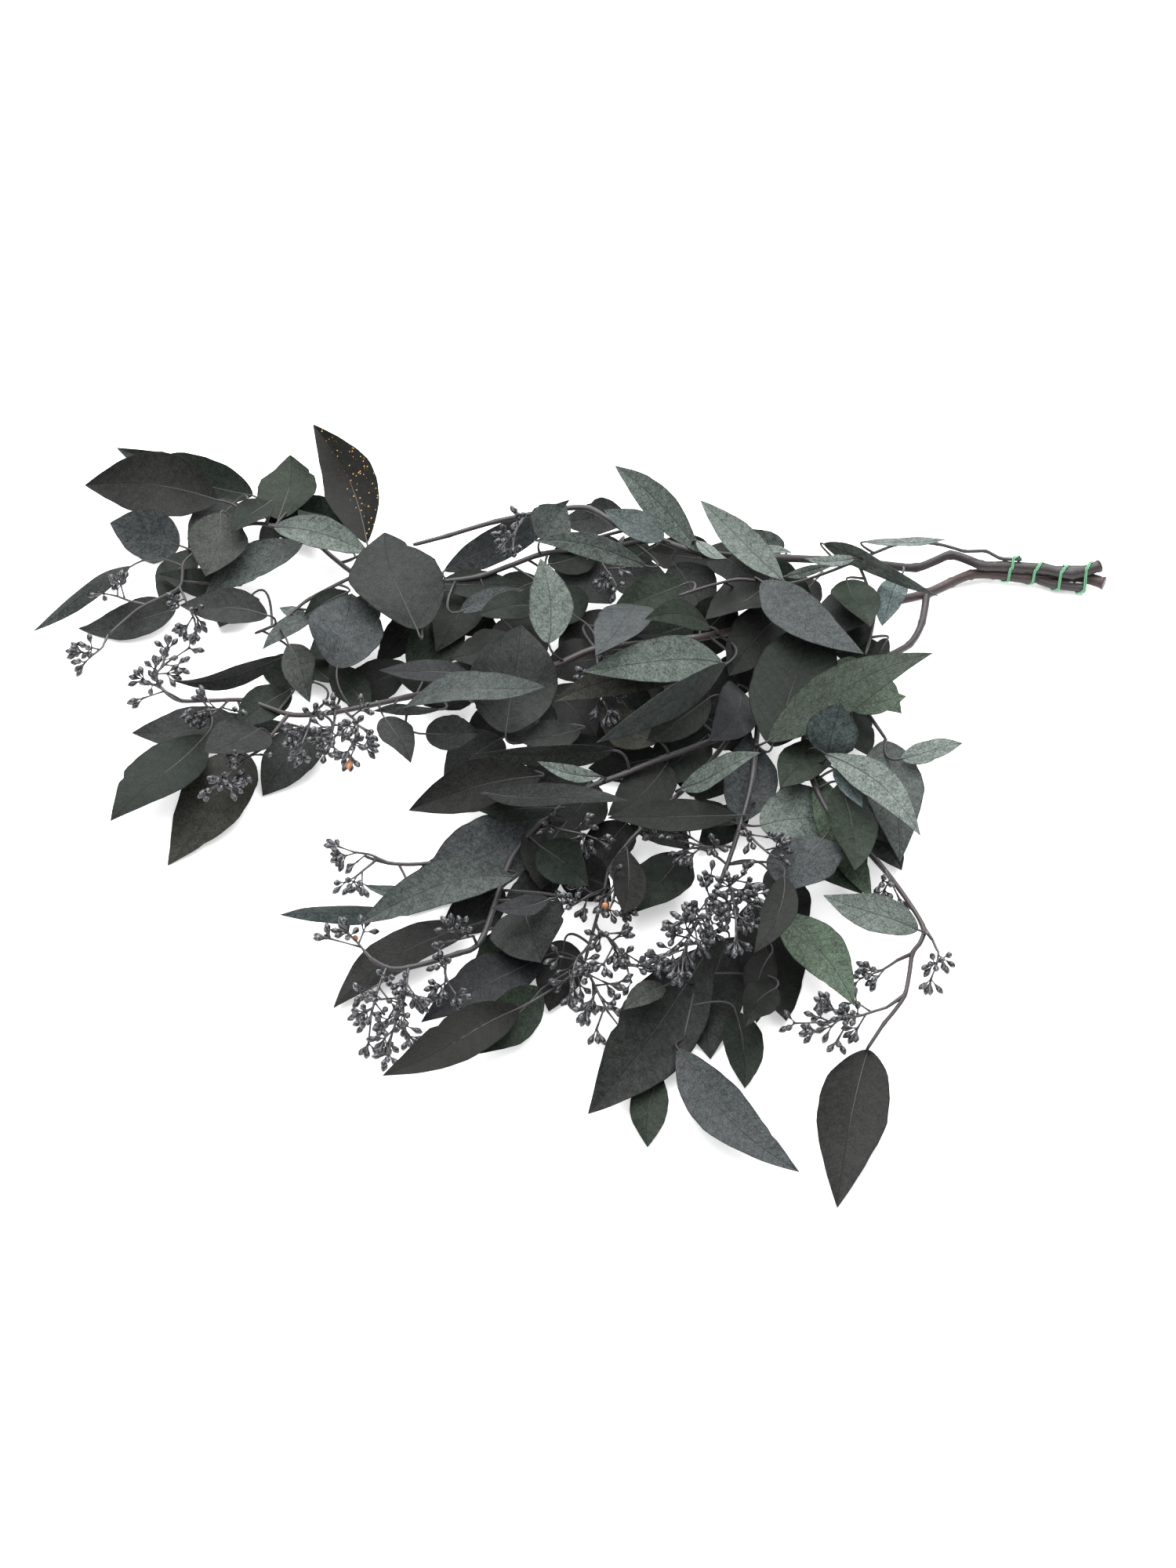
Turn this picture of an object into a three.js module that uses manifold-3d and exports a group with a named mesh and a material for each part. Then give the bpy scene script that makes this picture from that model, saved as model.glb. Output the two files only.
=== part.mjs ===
// A tied bunch of cut eucalyptus stems lying on a table: leafy stems, gum nut sprays and a string tie.
// Millimetres, +Z up. X runs along the bunch to the cut ends at +X, and the bunch rests on Z = 0.
import * as THREE from 'three';
import { mergeVertices } from 'three/addons/utils/BufferGeometryUtils.js';
import Module from 'manifold-3d';

const wasm = await Module();
wasm.setup();

// Driving dimensions of the plant
const BLADE_THICKNESS = 0.7;
const PETIOLE_RADIUS = 0.5;
const BROAD_HALF_WIDTH = 15; // blades wider than this are folded along the midrib
const LONG_PETIOLE = 25; // petioles longer than this are bent
const PETIOLE_SECTION = [[-1, 0.6], [1, 0.6], [0, -1.2]]; // left, right and under, in radii
const NARROWEST_BLADE = 0.24; // width of the slimmest leaf, as a share of its length
const BLADE_STATIONS = [0, 0.2, 0.5, 0.8, 1];
const NARROW_STATIONS = [0, 0.25, 0.65, 1];
const DEEP_STATIONS = [0, 0.45, 1]; // of a leaf deeper in the pile
const SPUR_LENGTH = 5;
const SPUR_GAP = 0.4;
const STALK_RADIUS = 0.9;
const STALK_TIP_RADIUS = 0.72;
const UMBEL_SPACING = 18;
const PEDUNCLE_LENGTH = 6.5;
const PEDUNCLE_RADIUS = 0.55;
const CLUB_LENGTH = 10; // a nut with its own stalk
const NUT_RADIUS = 1.8;
const CLUB_PROFILE = [[0, 0], [0.76, 1], [1, 0]]; // share of the length, share of the radius
const NUTS_IN_UMBEL = 3;
const UMBEL_LEAN = 0.9;
const NUT_LEAN = [0.45, 0.75];
const GOLDEN_TURN = 2.4;
const FIRST_SPRAY_SEED = 500;
const STEM_SIDES = 6;
const TWIG_SIDES = 4;
const SPUR_SIDES = 3;
const NUT_SIDES = 3;
const STRING_RADIUS = 0.65;
const STRING_TURNS = 3.7;
const STRING_GAP = 0.6;
const STRING_SIDES = 5;
const STEPS_TO_A_TURN = 48;
const STEPS_TO_A_BEND = 6;
const FIRST_STRING_ANGLE = 0.6;
const TIED_ROUTES = [['brown', 0], ['brown', 8], ['dark', 0], ['front', 0], ['thin', 0]]; // stem and row
const TIE_SPAN = [1392, 1277]; // across the view, from the cut ends inwards
const TIE_MIDDLE = [740, 6]; // down the view, height

// Drawn for each leaf, between two limits: angles in radians, the others as shares of its length or width
const DRAWN_ROLL = [-0.3, 0.3];
const DRAWN_BOW = [-0.08, 0.08];
const DRAWN_ARCH = [-0.035, 0.065];
const DRAWN_FOLD = [0.04, 0.22];
const DRAWN_TWIST = [-0.35, 0.35];
const DRAWN_WIDEST = [0.38, 0.48];
const DRAWN_RIPPLE = [0, 0.1];
const DRAWN_WAVE = [-0.03, 0.03];
const ROLL_LIMIT = 0.9;
const FACING_SHARE = 0.5; // how far a leaf turns from the viewer towards the sky
const FOLD_POWER = 1.8;
const RIPPLE_WAVES = 9;
const BASE_POWER = [0.6, 0.95]; // rounds the outline at the base, less on a slender leaf
const SLENDERNESS = [1.1, 2.8]; // length over width of the roundest and of the slimmest leaf
const TIP_POWER = 0.95; // draws the outline out at the tip

// Room kept between neighbours: each sampled point holds a small ball of free space.
const SAMPLE_STEP = 4.4;
const LEAF_ROOM = 2.0;
const STEM_ROOM = 0.7;
const NUT_ROOM = 2.2;
const NUT_SAMPLES = [0.45, 0.75, 1];
const SPRAY_ROOM = 4.5;
const TABLE_GAP = 0.2;
const NEIGHBOUR_REACH = 7;
const RUN_STEPS = 8;
const HEIGHT_STEP = 5;
const HEIGHT_TRIES = 8;
const TIP_RANGE = [-1, 102];
const LOWEST_BASE = 2;
const BASE_RISE = 12; // how far a leaf's base may stand above or below its stem
const BASE_SHARE = 0.5; // of the tip's shift
const STEM_REACH = 30; // how much further away another stem may be for a leaf to grow on it instead
const ROLL_TRIES = [0, 22, -22];

// Places are read as [across, down, height above the table] in one slanted view of the bunch:
// the first two in picture points and the height in millimetres.
const VIEW_ELEVATION = THREE.MathUtils.degToRad(48);
const VIEW_DISTANCE = 1900;
const VIEW_SCALE = 0.44; // millimetres to a picture point at the middle of the view
const VIEW_MIDDLE = [750, 1000];
const PILE_MIDDLE = [830, 860];
const PILE_SPREAD = [330, 230];
const PILE_EDGE = 35; // height of the thin foliage, and how much higher the middle is
const PILE_RISE = 60;
const FOOTPRINT_MIDDLE = [-8.8, -4.4]; // of the bunch, measured from the middle of the view

const FULL_TURN = [0, 2 * Math.PI];
const EITHER_WAY = [-1, 1];

const LEAF_GREEN = 0x5a635c;
const NUT_GREY = 0x48484c;
const STRING_GREEN = 0x6ebe8c;

// The stems that the string holds. Each route is [first radius, last radius, places...].
// A later route of a stem joins an earlier one.
const STEMS = {
  brown: [
    [3.6, 1.0, [1408, 744, 5.8], [1386, 737, 5.6], [1361, 735, 5.5], [1309, 737, 5.6], [1267, 732, 6.2],
      [1238, 733, 7.8], [1213, 743, 9.5], [1182, 757, 12], [1121, 771, 16], [1040, 790, 24],
      [960, 800, 32], [880, 815, 38], [760, 828, 40], [705, 850, 38], [600, 872, 32], [520, 889, 27],
      [428, 908, 22], [368, 911, 19], [312, 893, 18], [232, 894, 14], [205, 876, 12]],
    [1.2, 0.9, [368, 911, 19], [332, 956, 14]],
    [1.6, 0.9, [705, 850, 38], [679, 943, 30], [647, 1003, 24], [600, 1085, 16], [548, 1101, 13],
      [497, 1101, 11], [465, 1092, 10]],
    [2.2, 1.0, [1182, 757, 12], [1176, 794, 16], [1160, 822, 19], [1129, 840, 23], [1080, 880, 28],
      [1030, 930, 30], [1030, 975, 28], [1060, 1040, 24], [1119, 1099, 20], [1177, 1181, 18],
      [1164, 1216, 17], [1154, 1269, 15], [1128, 1305, 10], [1106, 1338, 5]],
    [1.2, 0.9, [1177, 1181, 18], [1190, 1200, 18]],
    [1.2, 0.9, [1164, 1216, 17], [1142, 1226, 17]],
    [1.2, 0.9, [1154, 1269, 15], [1131, 1285, 15]],
    [1.2, 0.9, [1080, 880, 28], [1110, 915, 28], [1130, 943, 26]],
    [2.6, 2.4, [1384, 750, 4.7], [1345, 746, 4.8], [1322, 739, 5.4]],
  ],
  dark: [
    [3.4, 1.2, [1402, 722, 13], [1368, 731.5, 13.1], [1332, 725.5, 13], [1281, 722, 13.1],
      [1252, 721, 13.8], [1212, 708, 15.7], [1168, 724, 18], [1090, 716, 24], [1000, 712, 34],
      [900, 706, 44], [840, 688, 48], [798, 676, 50], [752, 649, 50], [706, 651, 50], [633, 665, 48],
      [572, 683, 44], [527, 695, 42]],
    [1.7, 0.9, [840, 688, 48], [760, 700, 42], [690, 707, 38], [612, 735, 34], [530, 742, 30],
      [455, 733, 28], [400, 690, 27], [350, 671, 26], [310, 670, 25], [262, 696, 22], [234, 719, 20],
      [229, 749, 18], [179, 775, 14], [138, 810, 11]],
    [1.1, 0.9, [455, 733, 28], [393, 765, 20], [360, 792, 16], [325, 808, 14]],
    [1.1, 0.9, [798, 676, 50], [744, 690, 56]],
  ],
  thin: [
    [1.1, 0.9, [1303, 713.5, 17.3], [1276, 712, 17.4], [1257, 703, 20], [1230, 703, 23],
      [1196, 694, 26.5], [1146, 694, 30], [1093, 715, 36], [1010, 744, 46], [941, 739, 54],
      [865, 760, 60]],
    [1.0, 0.8, [1093, 715, 36], [1115, 777, 40], [1104, 835, 40]],
  ],
  front: [
    [2.3, 1.3, [1388, 726, 4.2], [1361, 726, 4.2], [1300, 728, 4.2], [1262, 727, 4.2], [1213, 741, 2.8],
      [1182, 755, 3], [1121, 773, 4.5], [1100, 787, 6.5], [1040, 838, 13], [968, 905, 22],
      [937, 933, 26], [844, 968, 34], [797, 987, 36], [740, 1010, 34], [690, 1050, 28], [650, 1100, 22],
      [616, 1195, 20], [585, 1216, 20], [521, 1234, 20], [493, 1234, 19], [472, 1222, 18]],
    [1.6, 0.9, [968, 905, 22], [960, 990, 28], [945, 1050, 26], [925, 1110, 22], [905, 1160, 18],
      [895, 1220, 14], [872, 1325, 8]],
    [1.5, 0.9, [937, 933, 26], [890, 990, 30], [851, 1026, 30], [806, 1070, 27], [777, 1109, 24],
      [771, 1134, 22], [745, 1230, 13]],
  ],
};

// Leaves as [base across, base down, tip across, tip down, width seen, layer in the pile of the tip]
// and, where it isn't the nearest one, the stem that it grows on.
const LEAVES = [
  [468, 692, 399, 541, 75, 0.9], [322, 632, 148, 571, 72, 0], [277, 638, 108, 619, 90, 0.5],
  [229, 696, 140, 667, 72, 0.25], [281, 655, 262, 735, 80, 0.9], [355, 662, 370, 580, 80, 0.5],
  [365, 655, 330, 697, 30, 0.4], [350, 672, 473, 708, 45, 0.9], [385, 693, 262, 758, 55, 0.9],
  [166, 723, 43, 805, 20, 0.15], [300, 745, 202, 732, 40, 0.35], [341, 785, 229, 772, 48, 0.55],
  [224, 776, 100, 803, 52, 0.4], [401, 788, 335, 828, 25, 0.5], [391, 792, 356, 775, 18, 0.5],
  [368, 822, 395, 896, 45, 0.7], [360, 838, 220, 868, 25, 0.5], [430, 852, 449, 757, 98, 0.9],
  [532, 803, 490, 679, 115, 1.0], [444, 755, 388, 785, 30, 0.5], [560, 745, 665, 746, 38, 0.45],
  [588, 780, 670, 752, 25, 0.5], [567, 728, 727, 637, 45, 0.6], [690, 688, 722, 643, 60, 1.0],
  [824, 722, 680, 690, 32, 1.1], [846, 688, 770, 650, 40, 1.1], [891, 703, 784, 594, 42, 1.0],
  [700, 820, 689, 712, 57, 1.0], [645, 935, 665, 797, 112, 0.85], [515, 903, 695, 876, 38, 1.1],
  [560, 905, 476, 907, 14, 0.8], [598, 860, 483, 855, 30, 0.8], [650, 890, 655, 950, 100, 0.5],
  [543, 936, 613, 935, 45, 0.5], [490, 915, 524, 973, 40, 0.6], [872, 866, 706, 895, 45, 0.5],
  [922, 846, 745, 857, 60, 0.95], [812, 772, 760, 836, 60, 1.0], [905, 800, 822, 790, 38, 0.9],
  [998, 739, 893, 638, 44, 1.1], [951, 700, 1010, 705, 14, 0.95], [889, 690, 927, 712, 16, 1.0],
  [1003, 735, 1062, 722, 14, 1.0], [1089, 712, 1025, 712, 16, 0.9], [1103, 691, 1206, 688, 14, 1.0],
  [1051, 694, 1196, 760, 20, 0.9, 'thin'], [1085, 752, 1060, 815, 70, 0.5],
  [1150, 735, 1125, 798, 35, 0.7], [1132, 815, 1112, 841, 20, 0.6], [972, 742, 1102, 834, 60, 1.0],
  [985, 952, 1041, 781, 105, 0.9], [980, 945, 1190, 833, 60, 1.35], [1075, 900, 1156, 888, 30, 0.6],
  [1056, 962, 1072, 896, 65, 1.0], [940, 875, 905, 945, 60, 1.0], [925, 848, 762, 947, 35, 0.8],
  [1128, 945, 1148, 1099, 75, 0.6], [1053, 962, 1174, 1066, 45, 0.9], [1150, 968, 1228, 948, 28, 0.6],
  [970, 1053, 1089, 1035, 83, 1.0], [1050, 1070, 1006, 1137, 75, 0.7],
  [1040, 986, 1112, 1147, 50, 0.6], [1064, 981, 1100, 1030, 25, 0.9], [942, 1050, 955, 935, 70, 0.8],
  [868, 1006, 970, 960, 30, 1.05], [938, 1050, 885, 1015, 30, 0.6], [690, 990, 521, 1034, 65, 0.5],
  [782, 957, 607, 962, 28, 0.8], [765, 990, 685, 971, 20, 0.9], [622, 1012, 803, 1022, 30, 0.9],
  [700, 1045, 529, 1134, 90, 0.5], [653, 1118, 457, 1180, 55, 0.8], [505, 1160, 357, 1167, 25, 0.25],
  [545, 1147, 465, 1129, 18, 0.4], [610, 1178, 425, 1286, 50, 0.1], [697, 1219, 537, 1304, 60, 0.35],
  [690, 1262, 578, 1347, 60, 0.3], [662, 1286, 488, 1372, 55, 0.1], [668, 1160, 690, 1228, 95, 0.6],
  [700, 1147, 628, 1158, 25, 0.8], [775, 1132, 716, 1110, 45, 0.8], [907, 1206, 750, 1421, 100, 0.5],
  [930, 1196, 906, 1351, 95, 0.3], [965, 1150, 1003, 1302, 80, 0.15], [938, 1290, 950, 1388, 48, 0.15],
  [842, 1372, 826, 1463, 45, 0.1], [865, 1338, 1020, 1495, 60, 0.15], [1107, 1339, 1068, 1541, 84, 0],
  [988, 1162, 1090, 1283, 60, 0.5], [1171, 1186, 1050, 1142, 46, 0.7],
  [1000, 1118, 962, 1215, 40, 0.55], [847, 1258, 795, 1288, 28, 0.8], [941, 1040, 775, 1043, 40, 0.6],
  [300, 918, 168, 935, 55, 0.4], [262, 938, 141, 1047, 75, 0.25], [312, 960, 214, 1104, 85, 0],
  [420, 932, 335, 1015, 65, 0.3], [375, 926, 240, 903, 22, 0.3],
  // Leaves deeper in the pile
  [600, 750, 556, 832, 66, 0.3], [770, 712, 862, 752, 56, 0.5], [872, 745, 782, 776, 55, 0.55],
  [935, 765, 862, 832, 70, 0.55], [1002, 780, 930, 862, 70, 0.5], [885, 905, 962, 958, 60, 0.35],
  [840, 945, 762, 902, 52, 0.45], [800, 1000, 880, 1084, 60, 0.3], [868, 1090, 800, 1168, 66, 0.3],
  [722, 1050, 690, 1134, 70, 0.3], [640, 942, 566, 992, 62, 0.3], [660, 1190, 602, 1262, 62, 0.2],
  [1000, 1000, 1062, 1088, 62, 0.3], [470, 800, 392, 842, 60, 0.2], [520, 850, 430, 880, 55, 0.15],
  [585, 800, 520, 860, 70, 0.25], [640, 790, 690, 850, 70, 0.2], [610, 850, 540, 900, 60, 0.1],
  [400, 870, 330, 850, 50, 0.15], [480, 760, 420, 830, 50, 0.15], [560, 760, 640, 810, 60, 0.2],
  [720, 700, 780, 770, 70, 0.35], [790, 690, 730, 760, 70, 0.3], [700, 720, 770, 690, 50, 0.5],
  [830, 700, 770, 730, 55, 0.4], [860, 720, 900, 790, 70, 0.3], [740, 790, 690, 760, 60, 0.2],
  [760, 800, 840, 830, 60, 0.25], [900, 700, 970, 750, 60, 0.5], [960, 720, 1040, 770, 60, 0.45],
  [1040, 740, 980, 800, 60, 0.35], [1000, 700, 930, 680, 45, 0.8], [1080, 740, 1110, 800, 60, 0.4],
  [1100, 780, 1050, 830, 60, 0.3], [1060, 850, 1120, 880, 50, 0.4], [1090, 860, 1150, 910, 50, 0.4],
  [700, 880, 760, 940, 70, 0.25], [780, 870, 840, 940, 70, 0.25], [720, 930, 800, 960, 55, 0.2],
  [850, 850, 900, 910, 60, 0.3], [900, 940, 840, 1000, 70, 0.3], [860, 980, 930, 1010, 55, 0.25],
  [760, 1000, 700, 1060, 70, 0.2], [720, 1090, 780, 1150, 60, 0.15], [690, 1080, 750, 1130, 60, 0.15],
  [800, 1050, 760, 1120, 60, 0.2], [1090, 990, 1150, 1080, 70, 0.35],
  [1070, 1000, 1090, 1110, 60, 0.25], [1060, 1090, 1100, 1140, 50, 0.3],
  [980, 1110, 1030, 1180, 50, 0.25], [640, 1130, 560, 1190, 60, 0.15], [600, 1100, 520, 1160, 55, 0.1],
  [720, 1200, 700, 1290, 60, 0.1], [330, 930, 260, 960, 60, 0.1], [370, 880, 300, 930, 50, 0.1],
  [300, 640, 240, 700, 60, 0.1], [250, 700, 210, 780, 50, 0.05], [320, 760, 280, 800, 50, 0.1],
  [540, 775, 480, 845, 50, 0.2], [690, 740, 615, 792, 50, 0.3], [775, 780, 712, 835, 50, 0.3],
  [985, 735, 900, 790, 55, 0.5], [1065, 940, 995, 1005, 55, 0.5], [905, 890, 825, 945, 50, 0.4],
  [850, 975, 775, 1040, 60, 0.35], [955, 1030, 890, 1085, 45, 0.4], [715, 1105, 640, 1155, 45, 0.3],
  [985, 1215, 965, 1305, 45, 0.1], [400, 690, 330, 640, 50, 0.4], [450, 705, 380, 650, 45, 0.5],
  [600, 895, 500, 862, 50, 0.3], [470, 905, 420, 845, 45, 0.2], [655, 815, 575, 840, 50, 0.15],
  [690, 772, 610, 785, 40, 0.2], [785, 835, 690, 855, 60, 0.2], [885, 795, 805, 808, 45, 0.25],
  [965, 840, 905, 900, 55, 0.2], [862, 875, 805, 890, 35, 0.2], [740, 930, 660, 945, 40, 0.15],
  [660, 905, 590, 945, 50, 0.15], [845, 965, 750, 980, 50, 0.2], [735, 985, 655, 992, 40, 0.2],
  [720, 1030, 610, 1034, 30, 0.2], [800, 1085, 795, 1165, 45, 0.15], [1085, 895, 1110, 965, 45, 0.25],
  [1060, 825, 1140, 835, 40, 0.3], [1110, 1060, 1150, 1110, 45, 0.25], [800, 665, 715, 665, 50, 0.4],
  [910, 715, 820, 700, 55, 0.4], [425, 870, 395, 835, 35, 0.15], [345, 640, 295, 680, 40, 0.2],
  [445, 670, 375, 635, 45, 0.35], [990, 1260, 950, 1310, 45, 0.05],
];

// Sideways bow of leaves that plainly bend one way, by their row above.
const LEAF_BOWS = {
  0: 0.05, 9: 0.06, 12: -0.08, 16: -0.06, 26: 0.04, 77: -0.04, 86: 0.07, 87: 0.02, 88: -0.06,
  94: -0.03, 95: -0.05,
};
const FIRST_DEEP_LEAF = 98;

// Nut sprays as the places that each stalk runs through. The first is near the twig that carries it.
const SPRAYS = [
  [[138, 812, 11], [130, 826, 10], [118, 836, 9]], [[185, 772, 15], [164, 766, 18], [148, 760, 17]],
  [[230, 749, 18], [240, 772, 22], [248, 790, 22]], [[205, 876, 12], [196, 862, 15], [212, 846, 18]],
  [[232, 894, 14], [215, 884, 22], [198, 874, 24]], [[290, 896, 16], [280, 904, 30], [262, 906, 31]],
  [[332, 956, 14], [308, 972, 30], [280, 1000, 32]], [[440, 906, 22], [456, 925, 33], [452, 955, 36]],
  [[400, 910, 21], [392, 932, 33], [384, 952, 34]], [[428, 908, 22], [425, 928, 36], [420, 950, 40]],
  [[497, 1101, 11], [472, 1090, 14], [452, 1087, 12]],
  [[480, 1099, 11], [466, 1108, 10], [454, 1118, 8]],
  [[474, 1224, 18], [464, 1212, 20], [454, 1200, 18]],
  [[521, 1234, 20], [515, 1275, 26], [500, 1318, 22]],
  [[493, 1234, 19], [482, 1262, 22], [474, 1292, 18]],
  [[610, 1203, 20], [602, 1194, 30], [585, 1198, 31]],
  [[570, 1222, 20], [568, 1242, 26], [572, 1254, 26]],
  [[690, 1050, 28], [715, 1058, 38], [745, 1064, 38]],
  [[771, 1134, 22], [752, 1142, 30], [730, 1155, 30]],
  [[777, 1109, 24], [785, 1130, 34], [782, 1150, 36]],
  [[745, 1230, 13], [760, 1260, 18], [775, 1290, 14]],
  [[760, 1178, 18], [785, 1205, 26], [800, 1235, 24]],
  [[752, 1205, 15], [735, 1225, 20], [728, 1250, 18]],
  [[937, 1078, 25], [900, 1080, 32], [860, 1070, 34]],
  [[903, 1166, 18], [885, 1180, 36], [872, 1215, 42]],
  [[925, 1110, 22], [935, 1145, 40], [940, 1185, 46]],
  [[915, 1140, 20], [900, 1150, 34], [905, 1180, 42]],
  [[945, 1050, 26], [962, 1072, 32], [980, 1088, 32]],
  [[1131, 1285, 15], [1095, 1296, 17], [1055, 1304, 14]],
  [[1144, 1226, 17], [1134, 1232, 18], [1124, 1238, 16]],
  [[1190, 1200, 18], [1197, 1216, 20], [1195, 1229, 19]],
  [[668, 656, 48], [660, 672, 54], [655, 686, 54]], [[760, 700, 42], [770, 722, 50], [780, 735, 50]],
  [[760, 828, 40], [765, 870, 50], [770, 895, 48]],
  [[1119, 1099, 20], [1130, 1112, 24], [1136, 1124, 22]],
];

// Height of the top of the pile over a point of the view: a broad mound over the middle of the foliage.
function pileHeight(across, down) {
  const x = (across - PILE_MIDDLE[0]) / PILE_SPREAD[0];
  const y = (down - PILE_MIDDLE[1]) / PILE_SPREAD[1];
  return PILE_EDGE + PILE_RISE * Math.exp(-x * x - y * y);
}

const TOWARDS_VIEWER = new THREE.Vector3(0, -Math.cos(VIEW_ELEVATION), Math.sin(VIEW_ELEVATION));

// Turns [across, down, height] into a place of the bunch: where the sight line meets that height.
function place([across, down, height]) {
  const focal = VIEW_DISTANCE / VIEW_SCALE;
  const eye = TOWARDS_VIEWER.clone().multiplyScalar(VIEW_DISTANCE);
  const rise = VIEW_MIDDLE[1] - down;
  const ray = new THREE.Vector3(
    across - VIEW_MIDDLE[0],
    focal * Math.cos(VIEW_ELEVATION) + rise * Math.sin(VIEW_ELEVATION),
    rise * Math.cos(VIEW_ELEVATION) - focal * Math.sin(VIEW_ELEVATION),
  );
  const point = eye.addScaledVector(ray, (height - eye.z) / ray.z);
  point.x -= FOOTPRINT_MIDDLE[0];
  point.y -= FOOTPRINT_MIDDLE[1];
  return point;
}

// Repeatable draws between two limits for one leaf or spray.
function seededDraws(seed) {
  const modulus = 2147483647;
  let state = 7919 * (seed + 1);
  return ([low, high]) => {
    state = (state * 16807) % modulus;
    return low + (high - low) * (state / modulus);
  };
}

// Closed solid from rings of points, one wall quad between neighbours and a fan on both ends.
// Quads listed in mirrored are split along the other diagonal. Points that meet become one.
function loft(rings, mirrored = []) {
  const count = rings[0].length;
  const triangles = [];
  for (let ring = 0; ring + 1 < rings.length; ring += 1) {
    for (let side = 0; side < count; side += 1) {
      const a = ring * count + side;
      const b = ring * count + (side + 1) % count;
      const c = a + count;
      const d = b + count;
      triangles.push(...(mirrored.includes(side) ? [a, b, c, b, d, c] : [a, b, d, a, d, c]));
    }
  }
  const last = (rings.length - 1) * count;
  for (let side = 1; side + 1 < count; side += 1) {
    triangles.push(0, side + 1, side, last, last + side, last + side + 1);
  }
  const geometry = new THREE.BufferGeometry();
  geometry.setAttribute('position', new THREE.BufferAttribute(
    new Float32Array(rings.flat().flatMap((point) => point.toArray())), 3));
  geometry.setIndex(triangles);
  return solid(geometry);
}

// Manifold solid of a closed geometry: shared points merged, flat slivers dropped, faces turned out.
function solid(geometry) {
  geometry.deleteAttribute('normal');
  geometry.deleteAttribute('uv');
  const merged = mergeVertices(geometry, 1e-4);
  const points = merged.attributes.position.array;
  const index = merged.index.array;
  const corners = [new THREE.Vector3(), new THREE.Vector3(), new THREE.Vector3()];
  const triangles = [];
  let volume = 0;
  for (let first = 0; first < index.length; first += 3) {
    const triangle = [index[first], index[first + 1], index[first + 2]];
    if (new Set(triangle).size === 3) {
      triangle.forEach((corner, k) => corners[k].fromArray(points, 3 * corner));
      volume += corners[0].dot(corners[1].cross(corners[2]));
      triangles.push(triangle);
    }
  }
  const outward = volume > 0 ? triangles : triangles.map(([a, b, c]) => [a, c, b]);
  return new wasm.Manifold(new wasm.Mesh({
    numProp: 3, vertProperties: new Float32Array(points), triVerts: new Uint32Array(outward.flat()),
  }));
}

// Points along straight stretches, an equal number to each stretch.
function evenRun(points, steps) {
  const run = points.slice(1).flatMap((next, k) => (
    Array.from({ length: steps }, (_, step) => points[k].clone().lerp(next, step / steps))));
  return [...run, points.at(-1).clone()];
}

// Tapered round solid along a run of points. The ring is carried along without spinning.
function taperedTube(run, firstRadius, lastRadius, sides) {
  const along = run.map((point, k) => {
    const next = run[Math.min(k + 1, run.length - 1)];
    return next.clone().sub(run[Math.max(k - 1, 0)]).normalize();
  });
  const helper = Math.abs(along[0].z) < 0.9 ? new THREE.Vector3(0, 0, 1) : new THREE.Vector3(1, 0, 0);
  const across = helper.clone().cross(along[0]).normalize();
  return loft(run.map((point, k) => {
    across.addScaledVector(along[k], -across.dot(along[k])).normalize();
    const over = along[k].clone().cross(across);
    const radius = THREE.MathUtils.lerp(firstRadius, lastRadius, k / (run.length - 1));
    return Array.from({ length: sides }, (_, side) => {
      const angle = (2 * Math.PI * (side + 0.5)) / sides;
      return point.clone().addScaledVector(across, radius * Math.cos(angle))
        .addScaledVector(over, radius * Math.sin(angle));
    });
  }));
}

// Free space taken so far: balls of one kind and owner, with the box that holds them.
const taken = [];

function ball(point, room) {
  return [point.x, point.y, point.z, room];
}

function boxOf(balls) {
  const box = new THREE.Box3();
  balls.forEach(([x, y, z]) => box.expandByPoint(new THREE.Vector3(x, y, z)));
  return box;
}

function takeSpace(owner, kind, balls) {
  taken.push({ owner, kind, balls, box: boxOf(balls) });
}

// True where none of the balls meets a ball that counts as a neighbour.
function isFree(balls, counts) {
  const box = boxOf(balls).expandByScalar(NEIGHBOUR_REACH);
  return taken.every((other) => {
    if (!counts(other) || !other.box.intersectsBox(box)) {
      return true;
    }
    return other.balls.every(([x, y, z, room]) => balls.every((one) => {
      const apart = room + one[3];
      const dx = x - one[0];
      const dy = y - one[1];
      const dz = z - one[2];
      return dx * dx + dy * dy + dz * dz > apart * apart;
    }));
  });
}

// Stems: every route as a solid and as a run of close points for measuring.
const routes = [];
const stemSolids = {};
for (const [stem, list] of Object.entries(STEMS)) {
  stemSolids[stem] = [];
  list.forEach(([firstRadius, lastRadius, ...places], number) => {
    const points = places.map(place);
    const run = evenRun(points, RUN_STEPS);
    const radii = run.map((_, k) => THREE.MathUtils.lerp(firstRadius, lastRadius, k / (run.length - 1)));
    routes.push({ stem, number, run, radii });
    const sides = number === 0 ? STEM_SIDES : TWIG_SIDES;
    stemSolids[stem].push(taperedTube(points, firstRadius, lastRadius, sides));
    takeSpace(stem, 'stem', run.map((point, k) => ball(point, radii[k] + STEM_ROOM)));
  });
}

// Nearest point of one stem's routes to a place as seen in the view, found on the table plane
// along the sight line, so that height plays no part.
function seen(point) {
  const lift = point.z / TOWARDS_VIEWER.z;
  return new THREE.Vector2(point.x - lift * TOWARDS_VIEWER.x, point.y - lift * TOWARDS_VIEWER.y);
}

function nearestOnStem(stem, point) {
  const target = seen(point);
  let best = { distance: Infinity };
  routes.filter((route) => route.stem === stem).forEach((route) => {
    route.run.forEach((candidate, k) => {
      const distance = seen(candidate).distanceTo(target);
      if (distance < best.distance) {
        best = { distance, point: candidate, radius: route.radii[k] };
      }
    });
  });
  return best;
}

function stemsByNearness(point) {
  const found = Object.keys(STEMS).map((stem) => ({ stem, ...nearestOnStem(stem, point) }));
  return found.sort((a, b) => a.distance - b.distance);
}

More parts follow.
